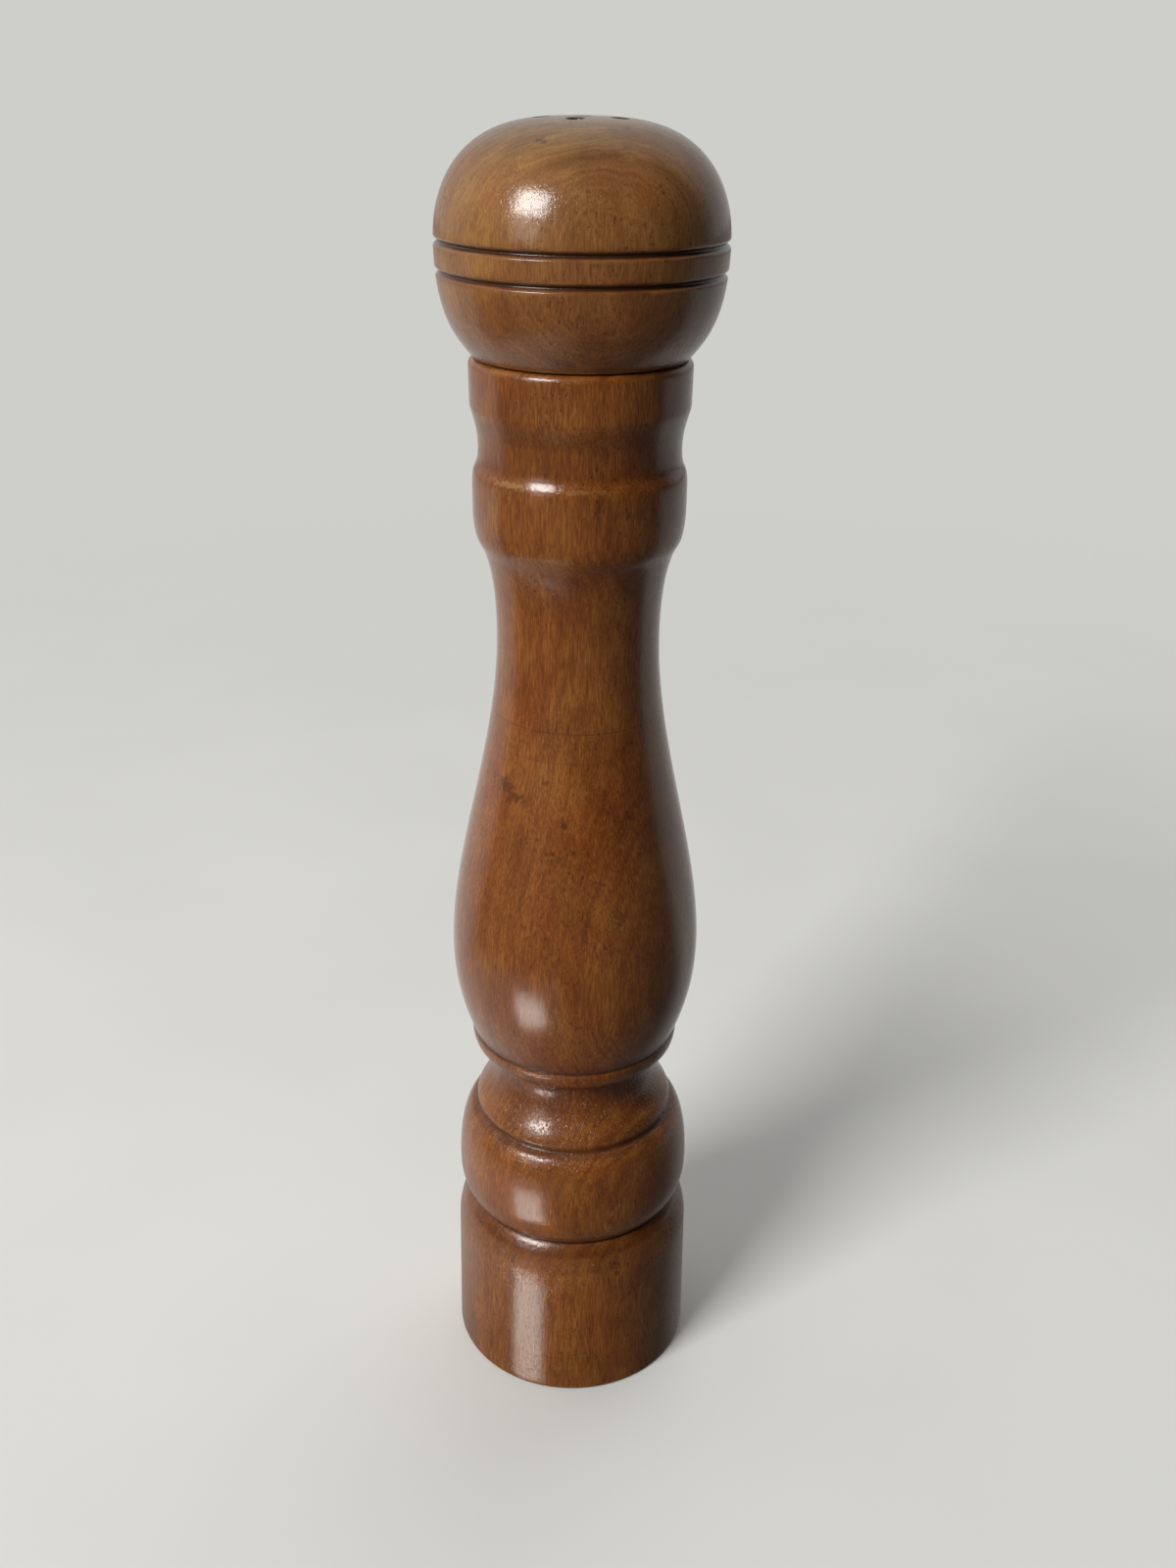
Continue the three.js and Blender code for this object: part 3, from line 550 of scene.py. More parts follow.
def stained_wood(name, seed, pith, stops, warm, ring_depth, pitted, tints, blemishes, lines, scuffs):
    """Stained hardwood under semi-gloss lacquer. `stops` are its dark, middle and light colours.
    The lacquer is pitted in the bands of `pitted`. Each of `tints` has a height where it starts,
    a height where it is full, and a colour. `blemishes` are dark spots, `lines` dark rings, some of
    which are painted shade, and `scuffs` pale rubbed places. Wide hollows are darkened with painted
    shade, and creases with painted shade and the stain that gathers there."""
    g = Material(name)
    place = g.place + seed
    fine, broad, pores, rings = wood_fibres(g, place, seed, pith)
    end_grain = g.math("ABSOLUTE", g.parts(g.node("TexCoord", output="Normal"))[2])

    mottle = g.noise(place, (0.16, 0.16, 0.09), 4.0, 0.6)
    patches = g.noise(place, (0.050, 0.050, 0.030), 2.0)
    tone = g.range(fine, 0.30, 0.72, kind="LINEAR") * (0.52 - end_grain * 0.30)
    for noise, share in ((broad, 0.08), (mottle, 0.26), (patches, 0.14)):
        tone += g.range(noise, 0.30, 0.70, kind="LINEAR") * share
    tone += rings * (end_grain * 0.28 + ring_depth)
    color = g.node("ValToRGB", {0: tone})
    elements = color.socket.node.color_ramp.elements
    elements.new(0.5)
    for element, position, stop in zip(elements, (0.15, 0.55, 0.95), stops):
        element.position, element.color = position, (*stop, 1.0)

    reddish = g.range(g.noise(place, (0.060, 0.060, 0.035)), 0.44, 0.66, 0.0, 0.42)
    color = g.mix(reddish, color, (1.10, 0.80, 0.74), "MULTIPLY")
    glow = g.range(g.noise(place, (0.070, 0.070, 0.030), 2.0), 0.5, 0.72, 0.0, warm)
    color = g.mix(glow, color, (1.18, 1.30, 1.25), "MULTIPLY")
    for start, full, tint in tints:
        color = g.mix(g.range(g.height, start, full), color, tint, "MULTIPLY")

    pore_mask = g.range(pores, 0.63, 0.74)
    fleck = g.range(g.noise(place, (1.3, 1.3, 0.9), 2.0, 0.6), 0.60, 0.68)
    fleck *= g.range(g.noise(place, (0.07, 0.07, 0.05), 1.0), 0.40, 0.58)
    dash = g.range(g.noise(place, (4.2, 4.2, 0.55), 1.0), 0.60, 0.70)
    dash *= g.range(g.noise(place, (0.08, 0.08, 0.04), 1.0), 0.40, 0.62)
    rubbed = g.range(g.noise(place, (0.12, 0.12, 0.3)), 0.42, 0.6)
    worn = g.range(g.mark("edge"), 0.25, 0.9) * rubbed
    color = g.mix(pore_mask * 0.40, color, (0.045, 0.011, 0.003))
    color = g.mix(fleck * 0.60, color, (0.060, 0.011, 0.003))
    color = g.mix(dash * 0.30, color, (0.46, 0.215, 0.070))
    color = g.mix(worn * 0.45, color, (0.40, 0.175, 0.055))
    # Painted shade: wide hollows, such as the coves and the waist under the band, are darkened and reddened.
    color = g.mix(g.range(g.mark("hollow"), 0.05, 0.8, 0.0, 0.75), color, (0.62, 0.52, 0.48), "MULTIPLY")
    # Creases and grooves are darkened nearly to black: painted shade in them, with the stain that gathers
    # there.
    color = g.mix(g.range(g.mark("crease"), 0.12, 1.0, 0.0, 0.85), color, (0.032, 0.010, 0.004))
    color = g.mix(spots(g, blemishes) * 0.75, color, (0.045, 0.014, 0.005))
    color = g.mix(bands(g, lines), color, (0.060, 0.017, 0.005))
    color = g.mix(spots(g, scuffs), color, (0.34, 0.165, 0.060))

    pits = g.range(g.noise(place, (1.4, 1.4, 1.1), 2.0), 0.50, 0.62)
    grain = fine * 0.5 - pore_mask * 0.5
    peel = g.noise(place, (0.75, 0.75, 0.45), 2.0)
    lacquer = peel * 0.9 + grain - pits * (bands(g, pitted) * 3.2 + 0.3)
    return g.finished(
        Base_Color=color, Roughness=fine * 0.16 + 0.40, Specular_IOR_Level=0.08, Normal=g.bump(grain, 0.03),
        Coat_Weight=1.0, Coat_Roughness=0.17, Coat_IOR=1.5, Coat_Normal=g.bump(lacquer, 0.024),
    )


def raw_wood(name, seed, pith, base, dark):
    """Unfinished bored or turned wood, with rings left by the tool."""
    g = Material(name)
    fine, broad, pores, rings = wood_fibres(g, g.place + seed, seed, pith)
    color = g.mix(g.range(fine * 0.5 + broad * 0.4 + rings * 0.25, 0.35, 0.85), dark, base)
    color = g.mix(g.range(pores, 0.62, 0.74) * 0.5, color, tuple(0.45 * c for c in dark))
    tool_marks = g.noise(g.place, (0.0, 0.0, 2.2), 2.0)
    return g.finished(
        Base_Color=color, Roughness=fine * 0.2 + 0.6, Specular_IOR_Level=0.3,
        Normal=g.bump(fine + tool_marks, 0.06),
    )


# ------------------------------------------------------------------ metals, plastic and rubber
def metal(name, color, roughness, brush, tarnish=(0.75, 0.72, 0.68)):
    """Bare metal with lines along `brush` (cells per millimetre) and uneven tarnish."""
    g = Material(name)
    lines = g.noise(g.place, brush, roughness=0.6)
    cloud = g.noise(g.place, (0.25, 0.25, 0.25), 4.0, 0.6)
    shade = g.mix(g.range(cloud, 0.42, 0.68, 0.0, 0.6), color, tarnish, "MULTIPLY")
    shade = g.mix(g.range(lines, 0.5, 0.75, 0.0, 0.25), shade, (0.6, 0.6, 0.6), "MULTIPLY")
    rough = lines * 0.18 + cloud * 0.14 + (roughness - 0.15)
    return g.finished(Base_Color=shade, Metallic=1.0, Roughness=rough, Normal=g.bump(lines, 0.01))


def cast_metal(name, color, roughness):
    """Rough cast or hardened metal with uneven tarnish."""
    g = Material(name)
    grit = g.noise(g.place, (2.2, 2.2, 2.2), 5.0, 0.65)
    cloud = g.noise(g.place, (0.2, 0.2, 0.2))
    shade = g.mix(g.range(cloud, 0.4, 0.7, 0.0, 0.7), color, (0.68, 0.66, 0.62), "MULTIPLY")
    rough = grit * 0.25 + (roughness - 0.12)
    return g.finished(Base_Color=shade, Metallic=0.9, Roughness=rough, Normal=g.bump(grit, 0.05))


def moulded(name, color, roughness, grit_depth, mottle):
    """Moulded plastic or rubber with a fine grit and a mottled shade."""
    g = Material(name)
    grit = g.noise(g.place, (3.0, 3.0, 3.0))
    cloud = g.noise(g.place, (0.3, 0.3, 0.3))
    shade = g.mix(g.range(cloud, 0.35, 0.7, 0.0, mottle), color, (0.7, 0.68, 0.64), "MULTIPLY")
    rough = grit * 0.2 + (roughness - 0.1)
    return g.finished(Base_Color=shade, Roughness=rough, Normal=g.bump(grit, grit_depth))


BODY_SEED, BODY_PITH = (11.0, 4.0, 0.0), (-49.0, 42.0)
BODY_MARKS = [  # centre, half width and half height in millimetres, strength
    ((-15.5, -15.0, 165.2), (2.6, 1.8), 0.85), ((-17.7, -11.8, 166.4), (1.6, 1.3), 0.60),
    ((-13.2, -17.5, 163.4), (2.2, 1.4), 0.80), ((-14.4, -16.3, 162.2), (1.2, 1.0), 0.80),
    ((-11.6, -18.8, 162.6), (1.4, 0.9), 0.60), ((-2.6, -22.7, 159.2), (0.95, 1.0), 0.85),
    ((-0.8, -24.2, 153.0), (0.70, 0.7), 0.85), ((-4.4, -24.1, 151.3), (1.4, 1.3), 0.50),
    ((4.2, -26.0, 146.0), (0.80, 0.9), 0.70), ((9.8, -25.5, 137.9), (2.0, 2.4), 0.60),
    ((6.6, -27.4, 131.0), (0.70, 0.8), 0.80), ((10.6, -26.9, 39.2), (1.8, 1.2), 0.70),
    ((11.4, -27.2, 36.9), (0.9, 0.8), 0.70), ((-11.2, -17.4, 169.5), (0.9, 1.0), 0.60),
    ((-7.0, -19.8, 168.0), (1.0, 0.9), 0.55), ((-16.2, -18.2, 150.5), (0.9, 1.0), 0.60),
]
HEAD_MARKS = [
    ((-7.9, -18.2, 296.6), (0.8, 0.9), 0.95), ((-7.2, -19.2, 296.1), (0.7, 0.8), 0.90),
    ((8.3, -13.3, 298.3), (1.0, 0.8), 0.85), ((-20.0, -16.5, 290.0), (1.2, 0.9), 0.35),
]
BODY_RINGS_AND_SHADE = [  # height, half width in millimetres, strength
    (179.0, 0.22, 0.40), (172.5, 0.18, 0.20), (10.6, 0.20, 0.35),
    # The two wide rings, below the upper collar's edge and on the foot's top shoulder, are painted shade.
    (BODY_TOP - 12.9, 2.6, 0.32), (40.8, 4.2, 0.30),
]
BODY_WOOD = stained_wood(
    "stained_body_wood", BODY_SEED, BODY_PITH, warm=0.32, ring_depth=0.12,
    pitted=[(77.5, 14.0, 1.0), (37.0, 6.0, 0.8), (94.0, 5.0, 0.6), (50.0, 30.0, 0.15)],
    tints=[(90.0, 35.0, (1.10, 1.18, 1.22))],
    stops=((0.097, 0.022, 0.0037), (0.196, 0.058, 0.0091), (0.328, 0.125, 0.025)),
    blemishes=BODY_MARKS, lines=BODY_RINGS_AND_SHADE,
    scuffs=[((-14.0, -17.3, 232.6), (6.5, 0.75), 0.75), ((0.0, -22.4, 232.4), (6.0, 0.5), 0.35)],
)
HEAD_WOOD = stained_wood(
    "stained_head_wood", (61.0, 27.0, 9.0), (-12.0, 92.0), warm=0.7, ring_depth=0.10,
    pitted=[(250.0, 16.0, 0.4)],
    tints=[(284.0, 268.0, (0.86, 0.72, 0.62)), (289.0, 298.0, (0.76, 0.86, 0.72))],
    stops=((0.134, 0.047, 0.0120), (0.252, 0.107, 0.0300), (0.378, 0.187, 0.062)),
    blemishes=HEAD_MARKS, lines=[(262.0, 0.25, 0.15)], scuffs=[((-11.0, -26.0, 270.6), (7.0, 0.5), 0.4)],
)
BORED_WOOD = raw_wood("bored_wood", BODY_SEED, BODY_PITH, (0.50, 0.31, 0.15), (0.33, 0.18, 0.08))
PLUG_WOOD = raw_wood("plug_wood", (7.0, 91.0, 3.0), (23.0, -79.0), (0.40, 0.21, 0.09), (0.25, 0.11, 0.04))
BRIGHT_STEEL = metal("plated_steel", (0.62, 0.61, 0.59), 0.32, (0.4, 3.0, 3.0))
WIRE_STEEL = metal("spring_steel", (0.50, 0.50, 0.51), 0.30, (1.5, 1.5, 1.5))
BURR_STEEL = cast_metal("burr_steel", (0.22, 0.22, 0.225), 0.42)
ZINC = cast_metal("cast_zinc", (0.42, 0.42, 0.43), 0.52)
ALUMINIUM = metal("shaft_aluminium", (0.78, 0.78, 0.79), 0.33, (3.0, 3.0, 0.06))
BRASS = metal("turned_brass", (0.72, 0.47, 0.17), 0.28, (0.3, 0.3, 4.0), tarnish=(0.70, 0.60, 0.45))
NYLON = moulded("nylon", (0.74, 0.70, 0.60), 0.45, 0.01, 0.25)
RUBBER = moulded("stopper_rubber", (0.030, 0.028, 0.027), 0.62, 0.03, 0.5)


# ------------------------------------------------------------------ wooden body
def body_outline():
    """Outer outline from the recess's edge, out round the foot and up to the tenon bore's edge."""
    foot_top = (FOOT_RADIUS - 0.4, 34.6)
    foot_groove = (25.2, 45.2)
    torus = (28.95, 54.1)
    torus_end = (23.9, 71.15)
    shoulder = (24.4, 72.3)
    waist = (19.4, 84.7)
    band_bottom = (24.05, 90.4)
    band_bead = (25.1, 93.7)
    band_crease = (24.75, 94.75)
    bulb = (29.3, 118.3)
    neck = (17.9, BODY_TOP - 59.5)
    collar_root = (20.85, COLLAR_CREASE)
    collar_side = (22.7, BODY_TOP - 30.5)
    collar_top = (22.7, BODY_TOP - 26.2)
    upper_cove = (21.35, BODY_TOP - 17.9)
    upper_collar = (22.95, BODY_TOP - 9.5)
    rim = (23.1, BODY_TOP - 1.5)
    rim_top = (21.8, BODY_TOP)
    bulb_rise, neck_rise = neck[1] - bulb[1], collar_root[1] - neck[1]
    waist_rise = waist[1] - shoulder[1]
    return [
        (RECESS_RADIUS, 0.0), (FOOT_RADIUS - 0.6, 0.0), (FOOT_RADIUS, 0.6), foot_top,
        *quarter(foot_top, foot_groove, "first", fullness=1.7),
        *quarter(foot_groove, torus, "last"),
        *quarter(torus, torus_end, "first", fullness=2.2),
        *bezier(torus_end, (23.6, 71.2), (23.9, 71.7), shoulder, 8),
        *bezier(
            shoulder, (shoulder[0] + 0.1, shoulder[1] + 0.3 * waist_rise),
            (waist[0], waist[1] - 0.55 * waist_rise), waist, 30,
        ),
        *quarter(waist, band_bottom, "first"),
        *bezier(band_bottom, (24.6, 90.9), (25.05, 92.2), band_bead, 12),
        *quarter(band_bead, band_crease, "first", 8),
        *bezier(band_crease, (band_crease[0] + 3.0, 102.5), (bulb[0], 109.3), bulb, 40),
        *bezier(bulb, (bulb[0], bulb[1] + 0.3 * bulb_rise), (neck[0], neck[1] - 0.34 * bulb_rise), neck, 80),
        *bezier(
            neck, (neck[0], neck[1] + 0.41 * neck_rise),
            (neck[0] + 0.7, collar_root[1] - 0.26 * neck_rise), collar_root, 30,
        ),
        *quarter(collar_root, collar_side, "last"),
        collar_top,
        *ease(collar_top, upper_cove, 0.67),
        *bezier(
            upper_cove, (upper_cove[0], upper_cove[1] + 3.9),
            (upper_collar[0] - 0.45, upper_collar[1] - 2.0), upper_collar, 24,
        ),
        rim,
        *quarter(rim, rim_top, "first", 8),
        (TENON_BORE_RADIUS, BODY_TOP),
    ]


def make_body():
    outer = softened(body_outline(), 0.32, [(COLLAR_CREASE, 3.0, 1.6), (TORUS_CREASE, 2.2, 1.0)])
    marks = marked(outer)
    # Less of the crease's painted shade in the soft torus crease.
    marks["crease"] *= np.where(np.abs(outer[:, 1] - TORUS_CREASE) < 3.0, 0.55, 1.0)
    outer, marks = thinned(outer, marks, max_step=1.45, max_turn=5.2)
    tenon_floor = BODY_TOP - TENON_BORE_DEPTH
    bores = [
        (TENON_BORE_RADIUS, BODY_TOP), (TENON_BORE_RADIUS, tenon_floor), (CHAMBER_RADIUS, tenon_floor),
        (CHAMBER_RADIUS, BURR_BORE_TOP), (BURR_BORE_RADIUS, BURR_BORE_TOP),
        (BURR_BORE_RADIUS, RECESS_DEPTH), (RECESS_RADIUS, RECESS_DEPTH), (RECESS_RADIUS, 0.0),
    ]
    shell = Shell().turned(outer, marks=marks).turned(bores, index=1)
    return shell.piece("body_turned", "stand", ["mill_body"], "stained_wood", [BODY_WOOD, BORED_WOOD])


# ------------------------------------------------------------------ wooden head
def head_outline():
    rim = (22.2, HEAD_BOTTOM)
    widest = (HEAD_RADIUS, HEAD_BOTTOM + 21.9)
    flank = [(SALT_RADIUS, HEAD_BOTTOM), rim]
    flank += bezier(rim, (rim[0] + 3.4, rim[1] + 3.95), (widest[0], widest[1] - 13.8), widest, 40)
    flank += quarter(widest, (0.0, HEAD_TOP), "first", 200, fullness=3.0, rise_fullness=2.15)
    return np.array(flank)


def grooved(outline, height):
    """The outline with a V-shaped groove at a height."""
    low, high = height - GROOVE_WIDTH / 2, height + GROOVE_WIDTH / 2
    rising = outline[1:]
    radius = [float(np.interp(z, rising[:, 1], rising[:, 0])) for z in (low, height, high)]
    cut = np.array([(radius[0], low), (radius[1] - GROOVE_DEPTH, height), (radius[2], high)])
    return np.vstack([outline[outline[:, 1] < low], cut, outline[outline[:, 1] > high]])


def shaker_centres():
    ring = SHAKER_RING_PHASE + 2 * math.pi * np.arange(SHAKER_RING_COUNT) / SHAKER_RING_COUNT
    return [(0.0, 0.0)] + [(SHAKER_RING_RADIUS * math.cos(a), SHAKER_RING_RADIUS * math.sin(a)) for a in ring]


def make_head():
    outline = head_outline()
    for height in HEAD_GROOVES:
        outline = grooved(outline, height)
    soft = softened(outline, 0.22)
    soft[:, 1] = np.minimum(soft[:, 1], top_of("head_shell"))
    crown = soft[np.argmax(soft[:, 0]) :][::-1]

    def crown_height(radius):
        return np.interp(radius, crown[:, 0], crown[:, 1])

    flank = soft[soft[:, 0] > CROWN_REACH]
    flank = np.vstack([flank, (CROWN_REACH, crown_height(CROWN_REACH))])
    # A narrower crease mark gives the grooves a thinner band of painted shade.
    flank, marks = thinned(flank, marked(flank, crease_width=0.28), max_step=1.2, max_turn=4.0)
    shell = Shell().turned(flank, marks=marks)

    ceiling = HEAD_TOP - CROWN_WALL
    corner = (SALT_RADIUS - SALT_ROUND, ceiling)
    holes = [round_loop(SHAKER_HOLE_RADIUS, 40, centre) for centre in shaker_centres()]
    mouths = [inset(hole[::-1], SHAKER_EDGE) for hole in holes]
    shell.capped(round_loop(CROWN_REACH, TURN_SEGMENTS), mouths, crown_height, spacing=0.9)
    shell.capped(round_loop(corner[0], TURN_SEGMENTS), holes, ceiling, up=False, index=1)
    rim = [
        (distance, lambda r, drop=drop: crown_height(r) - drop)
        for distance, drop in reversed(root_round(0.0, 0.0, SHAKER_EDGE))
    ]
    for hole in holes:
        shell.swept(hole[::-1], [(0.0, ceiling)] + rim, crease=[1.0] * len(rim) + [0.0])

    wall = quarter(corner, (SALT_RADIUS, ceiling - SALT_ROUND), "last", 12)
    shell.turned([corner, *wall, (SALT_RADIUS, HEAD_BOTTOM)], index=1)
    return shell.piece("head_turned", "head", ["head_shell"], "stained_wood", [HEAD_WOOD, BORED_WOOD])


make_body()
make_head()

# ------------------------------------------------------------------ grinding mechanism
SHAFT_SIDE = 6.0
PIN_RADIUS, PIN_Z = 1.0, middle_of("rotor_pin", 2)
HOUSING_RADIUS, HOUSING_BORE = 15.3, 13.4
FLANGE_RADIUS, FLANGE_LOW, FLANGE_THICKNESS = reach_of("burr_housing"), bottom_of("burr_housing"), 1.4
SPIDER_HEIGHT, SPIDER_HUB, SPIDER_BORE, SPIDER_ARM = 3.0, 6.04, 4.34, 3.0
SPIDER_DROP = 0.02  # keeps its top just under the housing's, so that the two can be joined
STRAP_THICKNESS, STRAP_WIDTH = 1.6, 12.0
BRIDGE_SCREW_X, PLATE_SCREW_X = middle_of("bridge_screw_2", 0), middle_of("plate_screw_2", 0)
BRIDGE_SCREW_HOLE, PLATE_SCREW_HOLE, PILOT_HOLE, PILOT_DEPTH = 1.7, 1.4, 1.3, 8.0  # radii and a depth
FILLER_Y = middle_of("salt_stopper", 1)
THROAT = FLANGE_LOW + 13.2  # height of the stator's top
STATOR_FOOT, STATOR_THROAT = 11.6, 9.2  # radii of the cone that the teeth stand on
TEETH, TOOTH_DEPTH = 20, 0.7
TOOTH_LEAN = 0.4  # radians from the tooth's one end to the other
TOOTH_SLOPE = 0.75  # share of each tooth that slopes gently
SCREW_SEGMENTS, ROUND_SEGMENTS, SMALL_SEGMENTS, FINE_SEGMENTS = 48, 64, 96, 240


def smooth_step(value, low, high):
    """0 up to a low value and 1 from a high one, with a smooth rise between. High may be the lower."""
    t = np.clip((value - low) / (high - low), 0, 1)
    return t * t * (3 - 2 * t)


def thread(low, high, pitch, depth):
    """Relief of a right-handed thread between two heights, running out at both of them."""

    def relief(angles, radii, heights):
        turn = (heights / pitch - angles / (2 * math.pi)) % 1
        valley = 1 - np.abs(2 * turn - 1)
        held = smooth_step(heights, low, low + pitch) * smooth_step(heights, high, high - pitch)
        return radii - depth * valley * held

    return relief


def closer(outline, step):
    """The outline with added points, so that none are further apart than a step."""
    outline = np.array(outline, float)
    points = [outline[:1]]
    for a, b in zip(outline[:-1], outline[1:]):
        count = max(int(math.ceil(np.hypot(*(b - a)) / step)), 1)
        points.append(a + (b - a) * np.linspace(0, 1, count + 1)[1:, None])
    return np.vstack(points)


def burr_teeth(low, high, direction):
    """Relief of slanting saw teeth between two heights, cut outwards or inwards."""

    def relief(angles, radii, heights):
        turn = (angles * TEETH / (2 * math.pi)) % 1
        valley = np.where(turn < TOOTH_SLOPE, turn / TOOTH_SLOPE, (1 - turn) / (1 - TOOTH_SLOPE))
        held = smooth_step(heights, low - 0.05, low) * smooth_step(heights, high + 0.05, high)
        return radii + direction * TOOTH_DEPTH * valley * held

    return relief


def pan_screw(node, x, radius, head_radius, head_height, length, pitch):
    """A pan-head screw with a slot, pointing up from the lowest point of its CAD node."""
    slot_half, edge_share = 0.4, 0.97
    bulge_power, round_power = 3.2, 1 / 1.6  # of the head's domed outline
    seat = bottom_of(node) + head_height

    def dome(r):
        bulge = (1 - np.clip(np.asarray(r) / head_radius, 0, 1) ** bulge_power) ** round_power
        return seat - head_height * (0.25 + 0.75 * bulge)

    shares = np.linspace(edge_share, 1.0, 6)
    head = [(share * head_radius, float(dome(share * head_radius))) for share in shares]
    collar = [(head_radius, seat - 0.15), (head_radius - 0.15, seat)]
    tip = seat + length
    shank = [
        (radius + 0.25, seat), (radius, seat + 0.25),
        (radius, tip - 2 * radius), (0.12, tip - 0.05), (0.0, tip),
    ]
    shell = Shell().turned(
        np.vstack([head, collar, closer(shank, pitch / 10)]), SCREW_SEGMENTS,
        relief=thread(seat + 1.2, tip - 0.2, pitch, 0.22 * radius),
    )
    reach = head_radius * (1 - (1 / 3) ** (1 / round_power)) ** (1 / bulge_power)
    side = math.sqrt(reach**2 - slot_half**2)
    turn = math.asin(slot_half / reach)
    along = np.linspace(-side, side, 24)[1:-1]
    slot = [(slot_half, y) for y in along] + arc(reach, math.pi / 2 - turn, math.pi / 2 + turn, 5)
    slot += [(-slot_half, -y) for y in along] + arc(reach, -math.pi / 2 - turn, -math.pi / 2 + turn, 5)
    slot, floor = np.array(slot), seat - head_height / 2
    face = round_loop(edge_share * head_radius, SCREW_SEGMENTS)
    shell.capped(face, [slot], dome, up=False, spacing=0.2)
    shell.capped(slot, [], floor, up=False)
    shell.swept(slot[::-1], [(0.0, lambda r: np.minimum(dome(r), floor)), (0.0, floor)])
    return shell.placed(Matrix.Translation((x, 0.0, 0.0)))


def housing_shell():
    """Sleeve with a screwed flange below. The spider is joined on afterwards."""
    edge, fillet = 0.2, 0.8
    flange_top, top = FLANGE_LOW + FLANGE_THICKNESS, top_of("burr_housing")
    screws = twin_loops(BRIDGE_SCREW_HOLE, BRIDGE_SCREW_X)
    mouth = round_loop(HOUSING_BORE + edge, TURN_SEGMENTS)
    root = round_loop(HOUSING_RADIUS + fillet, TURN_SEGMENTS)
    shell = Shell().slab(
        round_loop(FLANGE_RADIUS, TURN_SEGMENTS), screws, FLANGE_LOW, flange_top, edge, [mouth], [root]
    )
    lip = turned_edges([
        (HOUSING_RADIUS, top - 2), (HOUSING_RADIUS, top), (HOUSING_BORE, top),
        (HOUSING_BORE, FLANGE_LOW + edge), (HOUSING_BORE + edge, FLANGE_LOW),
    ], edge)
    return shell.turned(closer(np.vstack([root_round(HOUSING_RADIUS, flange_top, fillet), lip]), 2.0))


def spider_shell():
    """Hub and three arms that guide the shaft at the top of the housing."""
    top = top_of("burr_housing")
    half = math.asin(SPIDER_ARM / 2 / SPIDER_HUB)
    reach = (HOUSING_RADIUS + HOUSING_BORE) / 2
    spread = math.asin(SPIDER_ARM / 2 / reach)
    star = []
    for way in math.pi * np.array([1, 3, 5]) / 3:
        star += arc(reach, way - spread, way + spread, 4)
        star += arc(SPIDER_HUB, way + half, way + 2 * math.pi / 3 - half, 16)
    hole = round_loop(SPIDER_BORE, ROUND_SEGMENTS)
    return Shell().slab(np.array(star), [hole], top - SPIDER_HEIGHT, top - SPIDER_DROP, 0.2)


def bridge_shell():
    """Strap under the burrs with a tapped boss for the thumb screw."""
    edge, fillet, bore, boss = 0.3, 0.5, 2.6, 4.6
    low, boss_top = ends_of("bottom_bridge")
    high = low + STRAP_THICKNESS
    screws = twin_loops(BRIDGE_SCREW_HOLE, BRIDGE_SCREW_X)
    shell = Shell().slab(
        strap_loop(2 * FLANGE_RADIUS, STRAP_WIDTH), screws, low, high, edge,
        [round_loop(bore + edge, SMALL_SEGMENTS)], [round_loop(boss + fillet, SMALL_SEGMENTS)],
    )
    bore_foot = [(bore, low + edge), (bore + edge, low)]
    lip = turned_edges([(boss, boss_top - 1), (boss, boss_top), (bore, boss_top), *bore_foot], 0.2)
    return shell.turned(np.vstack([root_round(boss, high, fillet), lip]), SMALL_SEGMENTS)


def thumb_screw_shell():
    """Fluted knob with a threaded stem, dimpled for the thrust ball."""
    low, top = ends_of("thumb_screw")
    knob_top, radius, stem, dimple = low + 5.6, 7.5, 2.5, 1.7
    pitch, flutes, flute_depth = 0.8, 24, 0.45

    knob = turned_edges([
        (0.0, low + 0.35), (4.5, low + 0.35), (4.9, low), (radius - 0.8, low), (radius, low + 0.8),
        (radius, knob_top - 0.8), (radius - 0.8, knob_top), (3.6, knob_top), (3.4, knob_top - 0.25),
        (stem - 0.2, knob_top - 0.25), (stem - 0.2, knob_top + 0.6), (stem, knob_top + 0.8),
    ], 0.15)
    stem_foot = knob_top + 0.8
    shank = closer([(stem, stem_foot), (stem, top - 0.3), (stem - 0.3, top), (dimple, top)], pitch / 10)
    dish = [(1.2, top - 0.5), (0.6, top - 1.1), (0.0, top - dimple)]
    threaded = thread(stem_foot, top - 0.1, pitch, 0.28)

    def relief(angles, radii, heights):
        flute = 0.5 - 0.5 * np.cos(flutes * angles)
        grip = smooth_step(radii, radius - 0.75, radius - 0.1)
        fluted = radii - flute_depth * grip * flute
        on_stem = (radii > stem - 0.4) & (radii < stem + 0.05) & (heights > knob_top)
        return np.where(on_stem, threaded(angles, radii, heights), fluted)

    return Shell().turned(np.vstack([knob, shank[1:], dish]), FINE_SEGMENTS, relief=relief)


def cone_radius(height):
    """Radius of the stator's teeth at a height."""
    return np.interp(height, (FLANGE_LOW, THROAT), (STATOR_FOOT, STATOR_THROAT))


def stator_shell():
    """Outer burr, with teeth on its cone of a bore."""
    low, high = ends_of("stator_burr")
    outer, toothed, edge = 13.3, 12.0, 0.15  # its teeth are within the middle radius
    inner = [(float(cone_radius(z)), z) for z in np.linspace(high, low, 28)]
    wall = [(outer - edge, low), (outer, low + edge), (outer, high - edge), (outer - edge, high)]
    relief = burr_teeth(low, high, 1)
    return Shell().turned(
        [*inner, *wall, inner[0]], FINE_SEGMENTS,
        relief=lambda a, r, z: np.where(r < toothed, relief(a, r, z), r),
        lean=lambda r, z: np.where(r < toothed, TOOTH_LEAN * ((z - low) / (high - low) - 0.5), 0.0),
    )


